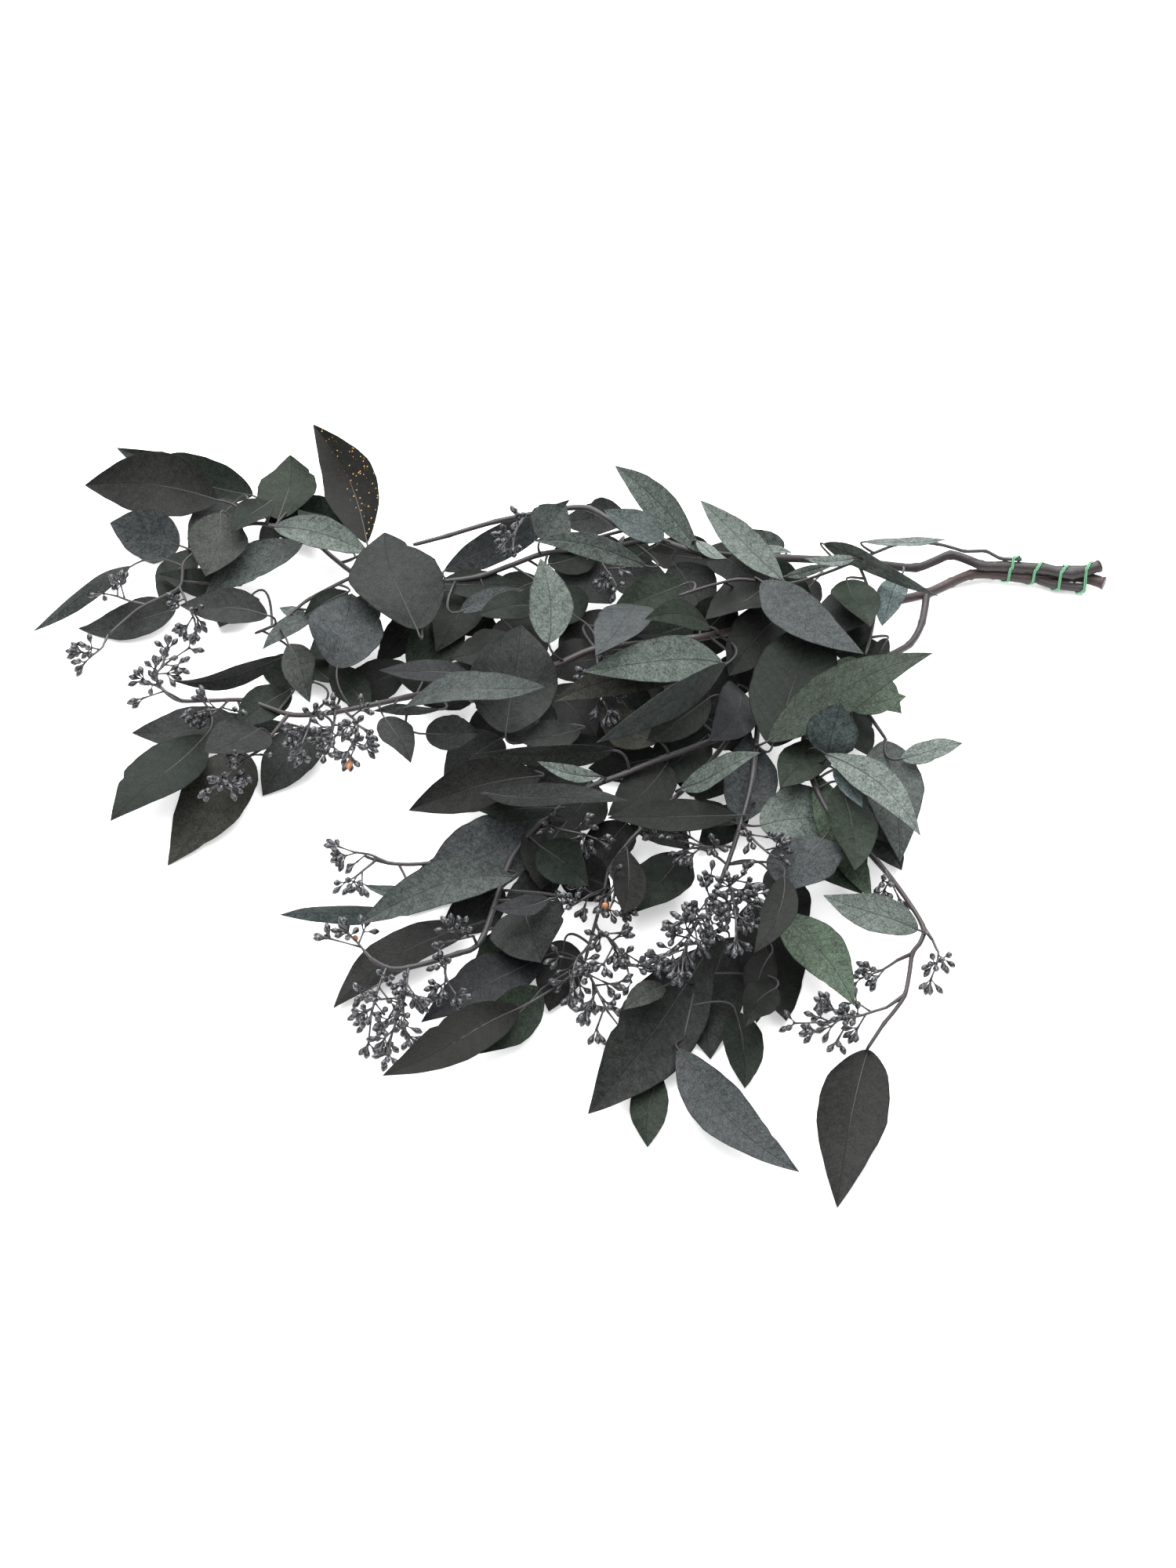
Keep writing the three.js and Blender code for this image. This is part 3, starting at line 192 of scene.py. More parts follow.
# Leaves: base across, base down, tip across, tip down, width seen, layer of the tip in the pile, tone.
LEAVES = [
    (468, 692, 399, 541, 75, 0.9, "o"), (322, 632, 148, 571, 72, 0, "d"),
    (277, 638, 108, 619, 90, 0.5, "c"), (229, 696, 140, 667, 72, 0.25, "b"),
    (281, 655, 262, 735, 80, 0.9, "g"), (355, 662, 370, 580, 80, 0.5, "m"),
    (365, 655, 330, 697, 30, 0.4, "k"), (350, 672, 473, 708, 45, 0.9, "y"),
    (385, 693, 262, 758, 55, 0.9, "n"), (166, 723, 43, 805, 20, 0.15, "n"),
    (300, 745, 202, 732, 40, 0.35, "d"), (341, 785, 229, 772, 48, 0.55, "s"),
    (224, 776, 100, 803, 52, 0.4, "s"), (401, 788, 335, 828, 25, 0.5, "n"),
    (391, 792, 356, 775, 18, 0.5, "y"), (368, 822, 395, 896, 45, 0.7, "g"),
    (360, 838, 220, 868, 25, 0.5, "s"), (430, 852, 449, 757, 98, 0.9, "b"),
    (532, 803, 490, 679, 115, 1.0, "s"), (444, 755, 388, 785, 30, 0.5, "d"),
    (560, 745, 665, 746, 38, 0.45, "d"), (588, 780, 670, 752, 25, 0.5, "b"),
    (567, 728, 727, 637, 45, 0.6, "b"), (690, 688, 722, 643, 60, 1.0, "n"),
    (824, 722, 680, 690, 32, 1.1, "p"), (846, 688, 770, 650, 40, 1.1, "t"),
    (891, 703, 784, 594, 42, 1.0, "y"), (700, 820, 689, 712, 57, 1.0, "y"),
    (645, 935, 665, 797, 112, 0.85, "s"), (515, 903, 695, 876, 38, 1.1, "n"),
    (560, 905, 476, 907, 14, 0.8, "n"), (598, 860, 483, 855, 30, 0.8, "v"),
    (650, 890, 655, 950, 100, 0.5, "s"), (543, 936, 613, 935, 45, 0.5, "s"),
    (490, 915, 524, 973, 40, 0.6, "s"), (872, 866, 706, 895, 45, 0.5, "w"),
    (922, 846, 745, 857, 60, 0.95, "y"), (812, 772, 760, 836, 60, 1.0, "b"),
    (905, 800, 822, 790, 38, 0.9, "m"), (998, 739, 893, 638, 44, 1.1, "y"),
    (951, 700, 1010, 705, 14, 0.95, "p"), (889, 690, 927, 712, 16, 1.0, "p"),
    (1003, 735, 1062, 722, 14, 1.0, "p"), (1089, 712, 1025, 712, 16, 0.9, "p"),
    (1103, 691, 1206, 688, 14, 1.0, "p"), (1051, 694, 1196, 760, 20, 0.9, "y"),
    (1085, 752, 1060, 815, 70, 0.5, "s"), (1150, 735, 1125, 798, 35, 0.7, "e"),
    (1132, 815, 1112, 841, 20, 0.6, "k"), (972, 742, 1102, 834, 60, 1.0, "b"),
    (985, 952, 1041, 781, 105, 0.9, "d"), (980, 945, 1190, 833, 60, 1.35, "h"),
    (1075, 900, 1156, 888, 30, 0.6, "f"), (1056, 962, 1072, 896, 65, 1.0, "t"),
    (940, 875, 905, 945, 60, 1.0, "v"), (925, 848, 762, 947, 35, 0.8, "n"),
    (1128, 945, 1148, 1099, 75, 0.6, "n"), (1053, 962, 1174, 1066, 45, 0.9, "p"),
    (1150, 968, 1228, 948, 28, 0.6, "p"), (970, 1053, 1089, 1035, 83, 1.0, "y"),
    (1050, 1070, 1006, 1137, 75, 0.7, "b"), (1040, 986, 1112, 1147, 50, 0.6, "l"),
    (1064, 981, 1100, 1030, 25, 0.9, "e"), (942, 1050, 955, 935, 70, 0.8, "b"),
    (868, 1006, 970, 960, 30, 1.05, "y"), (938, 1050, 885, 1015, 30, 0.6, "d"),
    (690, 990, 521, 1034, 65, 0.5, "c"), (782, 957, 607, 962, 28, 0.8, "g"),
    (765, 990, 685, 971, 20, 0.9, "p"), (622, 1012, 803, 1022, 30, 0.9, "s"),
    (700, 1045, 529, 1134, 90, 0.5, "b"), (653, 1118, 457, 1180, 55, 0.8, "n"),
    (505, 1160, 357, 1167, 25, 0.25, "t"), (545, 1147, 465, 1129, 18, 0.4, "n"),
    (610, 1178, 425, 1286, 50, 0.1, "c"), (697, 1219, 537, 1304, 60, 0.35, "v"),
    (690, 1262, 578, 1347, 60, 0.3, "m"), (662, 1286, 488, 1372, 55, 0.1, "o"),
    (668, 1160, 690, 1228, 95, 0.6, "s"), (700, 1147, 628, 1158, 25, 0.8, "v"),
    (775, 1132, 716, 1110, 45, 0.8, "c"), (907, 1206, 750, 1421, 100, 0.5, "s"),
    (930, 1196, 906, 1351, 95, 0.3, "s"), (965, 1150, 1003, 1302, 80, 0.15, "k"),
    (938, 1290, 950, 1388, 48, 0.15, "d"), (842, 1372, 826, 1463, 45, 0.1, "m"),
    (865, 1338, 1020, 1495, 60, 0.15, "b"), (1107, 1339, 1068, 1541, 84, 0, "c"),
    (988, 1162, 1090, 1283, 60, 0.5, "f"), (1171, 1186, 1050, 1142, 46, 0.7, "y"),
    (1000, 1118, 962, 1215, 40, 0.55, "k"), (847, 1258, 795, 1288, 28, 0.8, "g"),
    (941, 1040, 775, 1043, 40, 0.6, "k"), (300, 918, 168, 935, 55, 0.4, "s"),
    (262, 938, 141, 1047, 75, 0.25, "d"), (312, 960, 214, 1104, 85, 0, "w"),
    (420, 932, 335, 1015, 65, 0.3, "s"), (375, 926, 240, 903, 22, 0.3, "g"),
    # Leaves deeper in the pile, mostly in dark tones that paint the shade there
    (600, 750, 556, 832, 66, 0.3, "d"), (770, 712, 862, 752, 56, 0.5, "s"),
    (872, 745, 782, 776, 55, 0.55, "m"), (935, 765, 862, 832, 70, 0.55, "k"),
    (1002, 780, 930, 862, 70, 0.5, "k"), (885, 905, 962, 958, 60, 0.35, "k"),
    (840, 945, 762, 902, 52, 0.45, "w"), (800, 1000, 880, 1084, 60, 0.3, "k"),
    (868, 1090, 800, 1168, 66, 0.3, "d"), (722, 1050, 690, 1134, 70, 0.3, "k"),
    (640, 942, 566, 992, 62, 0.3, "s"), (660, 1190, 602, 1262, 62, 0.2, "m"),
    (1000, 1000, 1062, 1088, 62, 0.3, "m"), (470, 800, 392, 842, 60, 0.2, "d"),
    (520, 850, 430, 880, 55, 0.15, "k"), (585, 800, 520, 860, 70, 0.25, "m"),
    (640, 790, 690, 850, 70, 0.2, "k"), (610, 850, 540, 900, 60, 0.1, "s"),
    (400, 870, 330, 850, 50, 0.15, "d"), (480, 760, 420, 830, 50, 0.15, "d"),
    (560, 760, 640, 810, 60, 0.2, "d"), (720, 700, 780, 770, 70, 0.35, "s"),
    (790, 690, 730, 760, 70, 0.3, "k"), (700, 720, 770, 690, 50, 0.5, "d"),
    (830, 700, 770, 730, 55, 0.4, "m"), (860, 720, 900, 790, 70, 0.3, "s"),
    (740, 790, 690, 760, 60, 0.2, "d"), (760, 800, 840, 830, 60, 0.25, "k"),
    (900, 700, 970, 750, 60, 0.5, "s"), (960, 720, 1040, 770, 60, 0.45, "d"),
    (1040, 740, 980, 800, 60, 0.35, "k"), (1000, 700, 930, 680, 45, 0.8, "n"),
    (1080, 740, 1110, 800, 60, 0.4, "m"), (1100, 780, 1050, 830, 60, 0.3, "s"),
    (1060, 850, 1120, 880, 50, 0.4, "f"), (1090, 860, 1150, 910, 50, 0.4, "f"),
    (700, 880, 760, 940, 70, 0.25, "k"), (780, 870, 840, 940, 70, 0.25, "d"),
    (720, 930, 800, 960, 55, 0.2, "s"), (850, 850, 900, 910, 60, 0.3, "k"),
    (900, 940, 840, 1000, 70, 0.3, "d"), (860, 980, 930, 1010, 55, 0.25, "k"),
    (760, 1000, 700, 1060, 70, 0.2, "k"), (720, 1090, 780, 1150, 60, 0.15, "k"),
    (690, 1080, 750, 1130, 60, 0.15, "d"), (800, 1050, 760, 1120, 60, 0.2, "c"),
    (1090, 990, 1150, 1080, 70, 0.35, "n"), (1070, 1000, 1090, 1110, 60, 0.25, "m"),
    (1060, 1090, 1100, 1140, 50, 0.3, "l"), (980, 1110, 1030, 1180, 50, 0.25, "k"),
    (640, 1130, 560, 1190, 60, 0.15, "s"), (600, 1100, 520, 1160, 55, 0.1, "c"),
    (720, 1200, 700, 1290, 60, 0.1, "k"), (330, 930, 260, 960, 60, 0.1, "s"),
    (370, 880, 300, 930, 50, 0.1, "d"), (300, 640, 240, 700, 60, 0.1, "s"),
    (250, 700, 210, 780, 50, 0.05, "d"), (320, 760, 280, 800, 50, 0.1, "s"),
    (540, 775, 480, 845, 50, 0.2, "k"), (690, 740, 615, 792, 50, 0.3, "d"),
    (775, 780, 712, 835, 50, 0.3, "k"), (985, 735, 900, 790, 55, 0.5, "k"),
    (1065, 940, 995, 1005, 55, 0.5, "m"), (905, 890, 825, 945, 50, 0.4, "k"),
    (850, 975, 775, 1040, 60, 0.35, "k"), (955, 1030, 890, 1085, 45, 0.4, "d"),
    (715, 1105, 640, 1155, 45, 0.3, "s"), (985, 1215, 965, 1305, 45, 0.1, "k"),
    (400, 690, 330, 640, 50, 0.4, "m"), (450, 705, 380, 650, 45, 0.5, "d"),
    (600, 895, 500, 862, 50, 0.3, "k"), (470, 905, 420, 845, 45, 0.2, "d"),
    (655, 815, 575, 840, 50, 0.15, "k"), (690, 772, 610, 785, 40, 0.2, "d"),
    (785, 835, 690, 855, 60, 0.2, "k"), (885, 795, 805, 808, 45, 0.25, "d"),
    (965, 840, 905, 900, 55, 0.2, "k"), (862, 875, 805, 890, 35, 0.2, "k"),
    (740, 930, 660, 945, 40, 0.15, "s"), (660, 905, 590, 945, 50, 0.15, "k"),
    (845, 965, 750, 980, 50, 0.2, "k"), (735, 985, 655, 992, 40, 0.2, "s"),
    (720, 1030, 610, 1034, 30, 0.2, "d"), (800, 1085, 795, 1165, 45, 0.15, "c"),
    (1085, 895, 1110, 965, 45, 0.25, "d"), (1060, 825, 1140, 835, 40, 0.3, "m"),
    (1110, 1060, 1150, 1110, 45, 0.25, "n"), (800, 665, 715, 665, 50, 0.4, "s"),
    (910, 715, 820, 700, 55, 0.4, "k"), (425, 870, 395, 835, 35, 0.15, "d"),
    (345, 640, 295, 680, 40, 0.2, "d"), (445, 670, 375, 635, 45, 0.35, "m"),
    (990, 1260, 950, 1310, 45, 0.05, "k"),
]
OWN_STEM = {45: "thin"}
LEAF_BOWS = {0: 0.05, 9: 0.06, 12: -0.08, 16: -0.06, 26: 0.04, 77: -0.04, 86: 0.07, 87: 0.02, 88: -0.06,
             94: -0.03, 95: -0.05}
SPECKLED_LEAF = 0

# Nut sprays as the places that each stalk runs through, the first near the twig that carries it.
SPRAYS = [
    [(138, 812, 11), (130, 826, 10), (118, 836, 9)], [(185, 772, 15), (164, 766, 18), (148, 760, 17)],
    [(230, 749, 18), (240, 772, 22), (248, 790, 22)], [(205, 876, 12), (196, 862, 15), (212, 846, 18)],
    [(232, 894, 14), (215, 884, 22), (198, 874, 24)], [(290, 896, 16), (280, 904, 30), (262, 906, 31)],
    [(332, 956, 14), (308, 972, 30), (280, 1000, 32)], [(440, 906, 22), (456, 925, 33), (452, 955, 36)],
    [(400, 910, 21), (392, 932, 33), (384, 952, 34)], [(428, 908, 22), (425, 928, 36), (420, 950, 40)],
    [(497, 1101, 11), (472, 1090, 14), (452, 1087, 12)],
    [(480, 1099, 11), (466, 1108, 10), (454, 1118, 8)],
    [(474, 1224, 18), (464, 1212, 20), (454, 1200, 18)],
    [(521, 1234, 20), (515, 1275, 26), (500, 1318, 22)],
    [(493, 1234, 19), (482, 1262, 22), (474, 1292, 18)],
    [(610, 1203, 20), (602, 1194, 30), (585, 1198, 31)],
    [(570, 1222, 20), (568, 1242, 26), (572, 1254, 26)],
    [(690, 1050, 28), (715, 1058, 38), (745, 1064, 38)],
    [(771, 1134, 22), (752, 1142, 30), (730, 1155, 30)],
    [(777, 1109, 24), (785, 1130, 34), (782, 1150, 36)],
    [(745, 1230, 13), (760, 1260, 18), (775, 1290, 14)],
    [(760, 1178, 18), (785, 1205, 26), (800, 1235, 24)],
    [(752, 1205, 15), (735, 1225, 20), (728, 1250, 18)],
    [(937, 1078, 25), (900, 1080, 32), (860, 1070, 34)],
    [(903, 1166, 18), (885, 1180, 36), (872, 1215, 42)],
    [(925, 1110, 22), (935, 1145, 40), (940, 1185, 46)],
    [(915, 1140, 20), (900, 1150, 34), (905, 1180, 42)],
    [(945, 1050, 26), (962, 1072, 32), (980, 1088, 32)],
    [(1131, 1285, 15), (1095, 1296, 17), (1055, 1304, 14)],
    [(1144, 1226, 17), (1134, 1232, 18), (1124, 1238, 16)],
    [(1190, 1200, 18), (1197, 1216, 20), (1195, 1229, 19)],
    [(668, 656, 48), (660, 672, 54), (655, 686, 54)], [(760, 700, 42), (770, 722, 50), (780, 735, 50)],
    [(760, 828, 40), (765, 870, 50), (770, 895, 48)],
    [(1119, 1099, 20), (1130, 1112, 24), (1136, 1124, 22)],
]


def place(across, down, height):
    """Where the sight line through a point of the view meets a height."""
    rise = VIEW_MIDDLE[1] - down
    ray = np.array([
        across - VIEW_MIDDLE[0],
        FOCAL * math.cos(VIEW_ELEVATION) + rise * math.sin(VIEW_ELEVATION),
        rise * math.cos(VIEW_ELEVATION) - FOCAL * math.sin(VIEW_ELEVATION),
    ])
    eye = TOWARDS_VIEWER * VIEW_DISTANCE
    return eye + ray * ((height - eye[2]) / ray[2]) - FOOTPRINT_MIDDLE


def seeded_draws(seed):
    """Repeatable draws between two limits for one leaf or spray."""
    state = SEED_FACTOR * (seed + 1)

    def draw(limits):
        nonlocal state
        state = (state * DRAW_FACTOR) % DRAW_MODULUS
        return limits[0] + (limits[1] - limits[0]) * (state / DRAW_MODULUS)

    return draw


def unit(vector):
    return vector / np.linalg.norm(vector)


def turned(vector, axis, angle):
    """A vector turned round a unit axis by an angle."""
    return (vector * math.cos(angle) + np.cross(axis, vector) * math.sin(angle)
            + axis * np.dot(axis, vector) * (1 - math.cos(angle)))


def even_run(points, steps):
    """Points along straight stretches, an equal number to each stretch."""
    points = np.asarray(points)
    share = (np.arange(steps) / steps)[None, :, None]
    run = points[:-1, None] + (points[1:, None] - points[:-1, None]) * share
    return np.concatenate([run.reshape(-1, 3), points[-1:]])


def smooth_run(points, steps):
    """A smooth curve through the points: on each stretch a cubic whose slope at a point is half the
    way between its two neighbours."""
    points = np.asarray(points)
    padded = np.concatenate([2 * points[:1] - points[1:2], points, 2 * points[-1:] - points[-2:-1]])
    before, first, second, after = (padded[k:len(padded) - 3 + k, None] for k in range(4))
    t = (np.arange(steps) / steps)[None, :, None]
    curve = first + 0.5 * t * (second - before + t * (
        2 * before - 5 * first + 4 * second - after + t * (3 * (first - second) + after - before)))
    return np.concatenate([curve.reshape(-1, 3), points[-1:]])


class Space:
    """Balls of free space taken so far, each lot with its owner, kind and box."""

    def __init__(self):
        self.lots = []

    def take(self, owner, kind, points, room):
        room = np.broadcast_to(room, len(points))
        self.lots.append((owner, kind, points, room, points.min(0), points.max(0)))

    def is_free(self, points, room, counts):
        low, high = points.min(0) - NEIGHBOUR_REACH, points.max(0) + NEIGHBOUR_REACH
        room = np.broadcast_to(room, len(points))
        for owner, kind, others, other_room, lowest, highest in self.lots:
            if not counts(owner, kind) or (lowest > high).any() or (highest < low).any():
                continue
            apart = ((others[:, None] - points[None]) ** 2).sum(2)
            if (apart <= (other_room[:, None] + room[None]) ** 2).any():
                return False
        return True


space = Space()


class Route:
    """One route of a stem: its straight run for measuring, and the smooth run that is drawn."""

    def __init__(self, stem, number, first_radius, last_radius, places):
        points = np.array([place(*spot) for spot in places])
        self.stem = stem
        self.number = number
        self.main = number == 0
        self.run = even_run(points, RUN_STEPS)
        self.curve = smooth_run(points, RUN_STEPS)
        self.radii = first_radius + (last_radius - first_radius) * np.linspace(0, 1, len(self.run))
        self.seen = seen(self.run)
        space.take(stem, "stem", self.run, self.radii + STEM_ROOM)


def seen(points):
    """Points moved along the sight line down to the table."""
    points = np.atleast_2d(points)
    return (points - TOWARDS_VIEWER * (points[:, 2:] / TOWARDS_VIEWER[2]))[:, :2]


routes = [Route(stem, number, *route)
          for stem, listed in STEMS.items() for number, route in enumerate(listed)]


def nearest_on_stem(stem, point):
    """Distance as seen, route and step of the nearest place on one stem's routes."""
    target = seen(point)[0]
    best = (math.inf, None, 0)
    for route in routes:
        if route.stem == stem:
            apart = np.linalg.norm(route.seen - target, axis=1)
            step = int(apart.argmin())
            if apart[step] < best[0]:
                best = (apart[step], route, step)
    return best


def stems_by_nearness(point):
    found = [(*nearest_on_stem(stem, point), stem) for stem in STEMS]
    return sorted(found, key=lambda one: one[0])


def add_stalk(number, places):
    """Spur on the stem and stalk points of one spray. Returns its name, root on the drawn stem, and stalk."""
    name = f"nut_spray_{number + 1:02d}"
    points = np.array([place(*spot) for spot in places])
    _, route, step, stem = stems_by_nearness(points[0])[0]
    root = route.run[step]
    outward = unit(points[1] - root)
    spur_end = root + outward * (route.radii[step] + SPUR_LENGTH)
    space.take(stem, "stem", spur_end[None], STALK_RADIUS + STEM_ROOM)
    stalk = np.concatenate([(spur_end + outward * SPUR_GAP)[None], points[1:]])
    space.take(name, "spray", even_run(stalk, RUN_STEPS), SPRAY_ROOM)
    return {"name": name, "root": route.curve[step], "stalk": stalk, "number": number}


def pile_height(across, down):
    x = (across - PILE_MIDDLE[0]) / PILE_SPREAD[0]
    y = (down - PILE_MIDDLE[1]) / PILE_SPREAD[1]
    return PILE_EDGE + PILE_RISE * math.exp(-x * x - y * y)


def make_blade(base, tip, width_seen, roll_shift, draw):
    """Chord frame and drawn bends of a blade that shows a width to the viewer."""
    chord = tip - base
    length = np.linalg.norm(chord)
    along = chord / length
    facing = unit(TOWARDS_VIEWER - along * np.dot(along, TOWARDS_VIEWER))
    upward = unit(UP - along * along[2])
    to_upward = math.atan2(np.dot(along, np.cross(facing, upward)), np.dot(facing, upward))
    roll = FACING_SHARE * to_upward + draw(DRAWN_ROLL) + roll_shift
    roll = min(max(roll, -ROLL_LIMIT), ROLL_LIMIT)
    sign = math.copysign(1, draw((-1, 1)))
    if width_seen / math.cos(roll) < NARROWEST_BLADE * length:
        roll = sign * math.acos(min(width_seen / (NARROWEST_BLADE * length), math.cos(roll_shift)))
    normal = turned(facing, along, roll)
    blade = {"base": base, "chord": chord, "length": length, "normal": normal,
             "side": np.cross(along, normal), "half": 0.5 * width_seen / math.cos(roll)}
    for name, limits in BLADE_DRAWS:
        blade[name] = draw(limits)
    return blade


def blade_outline(blade, along):
    """Share of the widest half width: a sine stretched so that it peaks at the widest place, raised to
    a power that runs from one that suits how slender the blade is at its base to another at the tip."""
    bend = math.log(0.5) / math.log(blade["widest"])
    base_power = np.interp(0.5 * blade["length"] / blade["half"], SLENDERNESS, BASE_POWER)
    power = base_power + (TIP_POWER - base_power) * along
    return np.maximum(np.sin(np.pi * along ** bend), 0) ** power


def blade_points(blade, along, across, edge=1.0):
    """Points of a blade: the chord, bowed and arched by a parabola and waved by a sine, with the half width
    laid across it, folded up at both edges, rippled along them and twisted. What would dip below the table
    lies on it."""
    swell = 4 * along * (1 - along) * blade["length"]
    turn = blade["twist"] * (along - 0.5)
    half = blade["half"] * blade_outline(blade, along) * edge
    reach = across * half
    lift = half * (blade["fold"] * np.abs(across) ** FOLD_POWER
                   + blade["ripple"] * across * np.sin(RIPPLE_WAVES * along + blade["phase"]))
    sideways = reach * np.cos(turn) - lift * np.sin(turn) + blade["bow"] * swell
    wave = blade["wave"] * blade["length"] * np.sin(2 * np.pi * along)
    upwards = reach * np.sin(turn) + lift * np.cos(turn) + blade["arch"] * swell + wave
    points = (blade["base"] + along[..., None] * blade["chord"] + sideways[..., None] * blade["side"]
              + upwards[..., None] * blade["normal"])
    points[..., 2] = np.maximum(points[..., 2], BLADE_FLOOR)
    return points


def blade_samples(blade):
    rows = math.ceil(blade["length"] / SAMPLE_STEP)
    columns = max(2, math.ceil(2 * blade["half"] / SAMPLE_STEP))
    along, across = np.meshgrid(np.arange(rows + 1) / rows, 2 * np.arange(columns + 1) / columns - 1,
                                indexing="ij")
    return blade_points(blade, along, across).reshape(-1, 3)


def petiole_run(root, blade, steps):
    """Bent stalk from a root to a blade's base: a parabola that ends in line with the blade."""
    base = blade["base"]
    elbow = base - unit(blade["chord"]) * (0.5 * np.linalg.norm(root - base))
    t = np.linspace(0, 1, steps + 1)[:, None]
    return (1 - t) ** 2 * root + 2 * (1 - t) * t * elbow + t ** 2 * base


def leaf_at(stem, row, tip_height, number, shift, roll, strict):
    """Petiole and blade of one leaf on one stem at one height and roll, or None where there is no room."""
    base_spot, tip_spot, width_seen = row[0:2], row[2:4], row[4] * VIEW_SCALE
    _, route, step = nearest_on_stem(stem, place(*base_spot, tip_height))
    level = route.run[step][2]
    rise = min(max(tip_height - level, -BASE_RISE), BASE_RISE)
    base = place(*base_spot, max(level + rise + BASE_SHARE * shift, LOWEST_BASE))
    tip = place(*tip_spot, tip_height + shift)
    if tip[2] < TIP_RANGE[0] or tip[2] > TIP_RANGE[1]:
        return None
    blade = make_blade(base, tip, width_seen, roll, seeded_draws(number))
    blade["bow"] = LEAF_BOWS.get(number, blade["bow"])
    _, route, step = nearest_on_stem(stem, base)
    samples = blade_samples(blade)
    stalk = petiole_run(route.run[step], blade, RUN_STEPS)

    def others(owner, kind):
        return owner != stem

    def crossing(owner, kind):
        return owner != stem or kind == "leaf"

    if not space.is_free(stalk, PETIOLE_RADIUS + STEM_ROOM, others):
        return None
    if not space.is_free(samples, LEAF_ROOM, crossing if strict else others):
        return None
    space.take(stem, "leaf", samples, LEAF_ROOM)
    space.take(stem, "petiole", stalk, PETIOLE_RADIUS + STEM_ROOM)
    return {"stem": stem, "blade": blade, "root": route.curve[step], "tone": row[6], "number": number}


def add_leaf(number, row):
    """One leaf: the first free height and roll on the nearest stem, or failing that on the next one."""
    tip_height = row[5] * pile_height(*row[2:4])
    near = stems_by_nearness(place(*row[0:2], tip_height))
    own = OWN_STEM.get(number)
    stems = [one[3] for one in near if (one[3] == own if own else one[0] < near[0][0] + STEM_REACH)]
    for strict in (True, False):
        for stem in stems:
            for attempt in range(2 * HEIGHT_TRIES + 1):
                shift = HEIGHT_STEP * math.ceil(attempt / 2) * (1 if attempt % 2 else -1)
                for roll in ROLL_TRIES:
                    found = leaf_at(stem, row, tip_height, number, shift, math.radians(roll), strict)
                    if found:
                        return found
    return None


stalks = [add_stalk(number, places) for number, places in enumerate(SPRAYS)]
leaves = [leaf for leaf in (add_leaf(number, row) for number, row in enumerate(LEAVES)) if leaf]


def square_to(axis):
    """A unit vector square to an axis: level, unless the axis is nearly upright."""
    return unit(np.cross(UP if abs(axis[2]) < NEARLY_UPRIGHT else AHEAD, axis))


def carried_frames(path):
    """Unit tangents along a path, and two cross directions carried along it without spinning."""
    ahead = np.concatenate([path[1:], path[-1:]])
    behind = np.concatenate([path[:1], path[:-1]])
    tangents = ahead - behind
    tangents /= np.linalg.norm(tangents, axis=1, keepdims=True)
    across = np.empty_like(tangents)
    start = square_to(tangents[0])
    for step, tangent in enumerate(tangents):
        start = unit(start - tangent * np.dot(start, tangent))
        across[step] = start
    return tangents, across, np.cross(tangents, across)


def tube(path, radii, sides):
    """A round profile carried along a path, its radius given at each step."""
    _, across, over = carried_frames(path)
    angle = 2 * np.pi * np.arange(sides) / sides
    radii = np.broadcast_to(radii, len(path))[:, None, None]
    return (path[:, None] + radii * (np.cos(angle)[None, :, None] * across[:, None]
                                     + np.sin(angle)[None, :, None] * over[:, None]))


class Skin:
    """Gathers closed tubes, given as grids of rings, and their values, and makes one mesh of them."""

    def __init__(self):
        self.points = []
        self.faces = []
        self.values = {}
        self.count = 0

    def add(self, grid, **values):
        """Walls join each ring to the next, and a cap closes each end."""
        rows, columns = grid.shape[:2]
        index = self.count + np.arange(rows * columns).reshape(rows, columns)
        beside = np.roll(index, -1, axis=1)
        walls = np.stack([index[:-1], beside[:-1], beside[1:], index[1:]], axis=-1)
        self.faces += [walls.reshape(-1, 4), index[:1, ::-1], index[-1:]]
        self.points.append(grid.reshape(-1, 3))
        for name, value in values.items():
            value = np.asarray(value, float)
            wide = (rows, columns, 3) if value.shape[-1:] == (3,) else (rows, columns)
            self.values.setdefault(name, []).append(np.broadcast_to(value, wide).reshape(-1, *wide[2:]))
        self.count += rows * columns

    def piece(self, name, finish, slot, *nodes):
        """The mesh object, riding on the bunch and standing in for its solids."""
        mesh = bpy.data.meshes.new(name)
        points = np.concatenate(self.points) * MM
        corners = np.concatenate([face.ravel() for face in self.faces]).astype(np.int32)
        sizes = np.concatenate([np.full(len(face), face.shape[1]) for face in self.faces])
        mesh.vertices.add(len(points))
        mesh.vertices.foreach_set("co", points.astype(np.float32).ravel())
        mesh.loops.add(len(corners))
        mesh.loops.foreach_set("vertex_index", corners)
        mesh.polygons.add(len(sizes))
        mesh.polygons.foreach_set("loop_start", (np.cumsum(sizes) - sizes).astype(np.int32))
        mesh.update(calc_edges=True)
        mesh.validate()
        mesh.shade_smooth()
        for key, parts in self.values.items():
            data = np.concatenate(parts)
            if data.ndim == 2:
                data = np.concatenate([data, np.ones((len(data), 1))], axis=1)
                colours = mesh.attributes.new(key, "FLOAT_COLOR", "POINT")
                colours.data.foreach_set("color", data.astype(np.float32).ravel())
            else:
                numbers = mesh.attributes.new(key, "FLOAT", "POINT")
                numbers.data.foreach_set("value", data.astype(np.float32))
        mesh.materials.append(finish)
        made = bpy.data.objects.new(name, mesh)
        bpy.context.scene.collection.objects.link(made)
        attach(made, "root")
        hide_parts(*nodes)


def linear(tone):
    """Light value of a tone given as the eye reads it, 0 to 255."""
    tone = np.asarray(tone, float) / 255
    return np.where(tone <= 0.04045, tone / 12.92, ((tone + 0.055) / 1.055) ** 2.4)


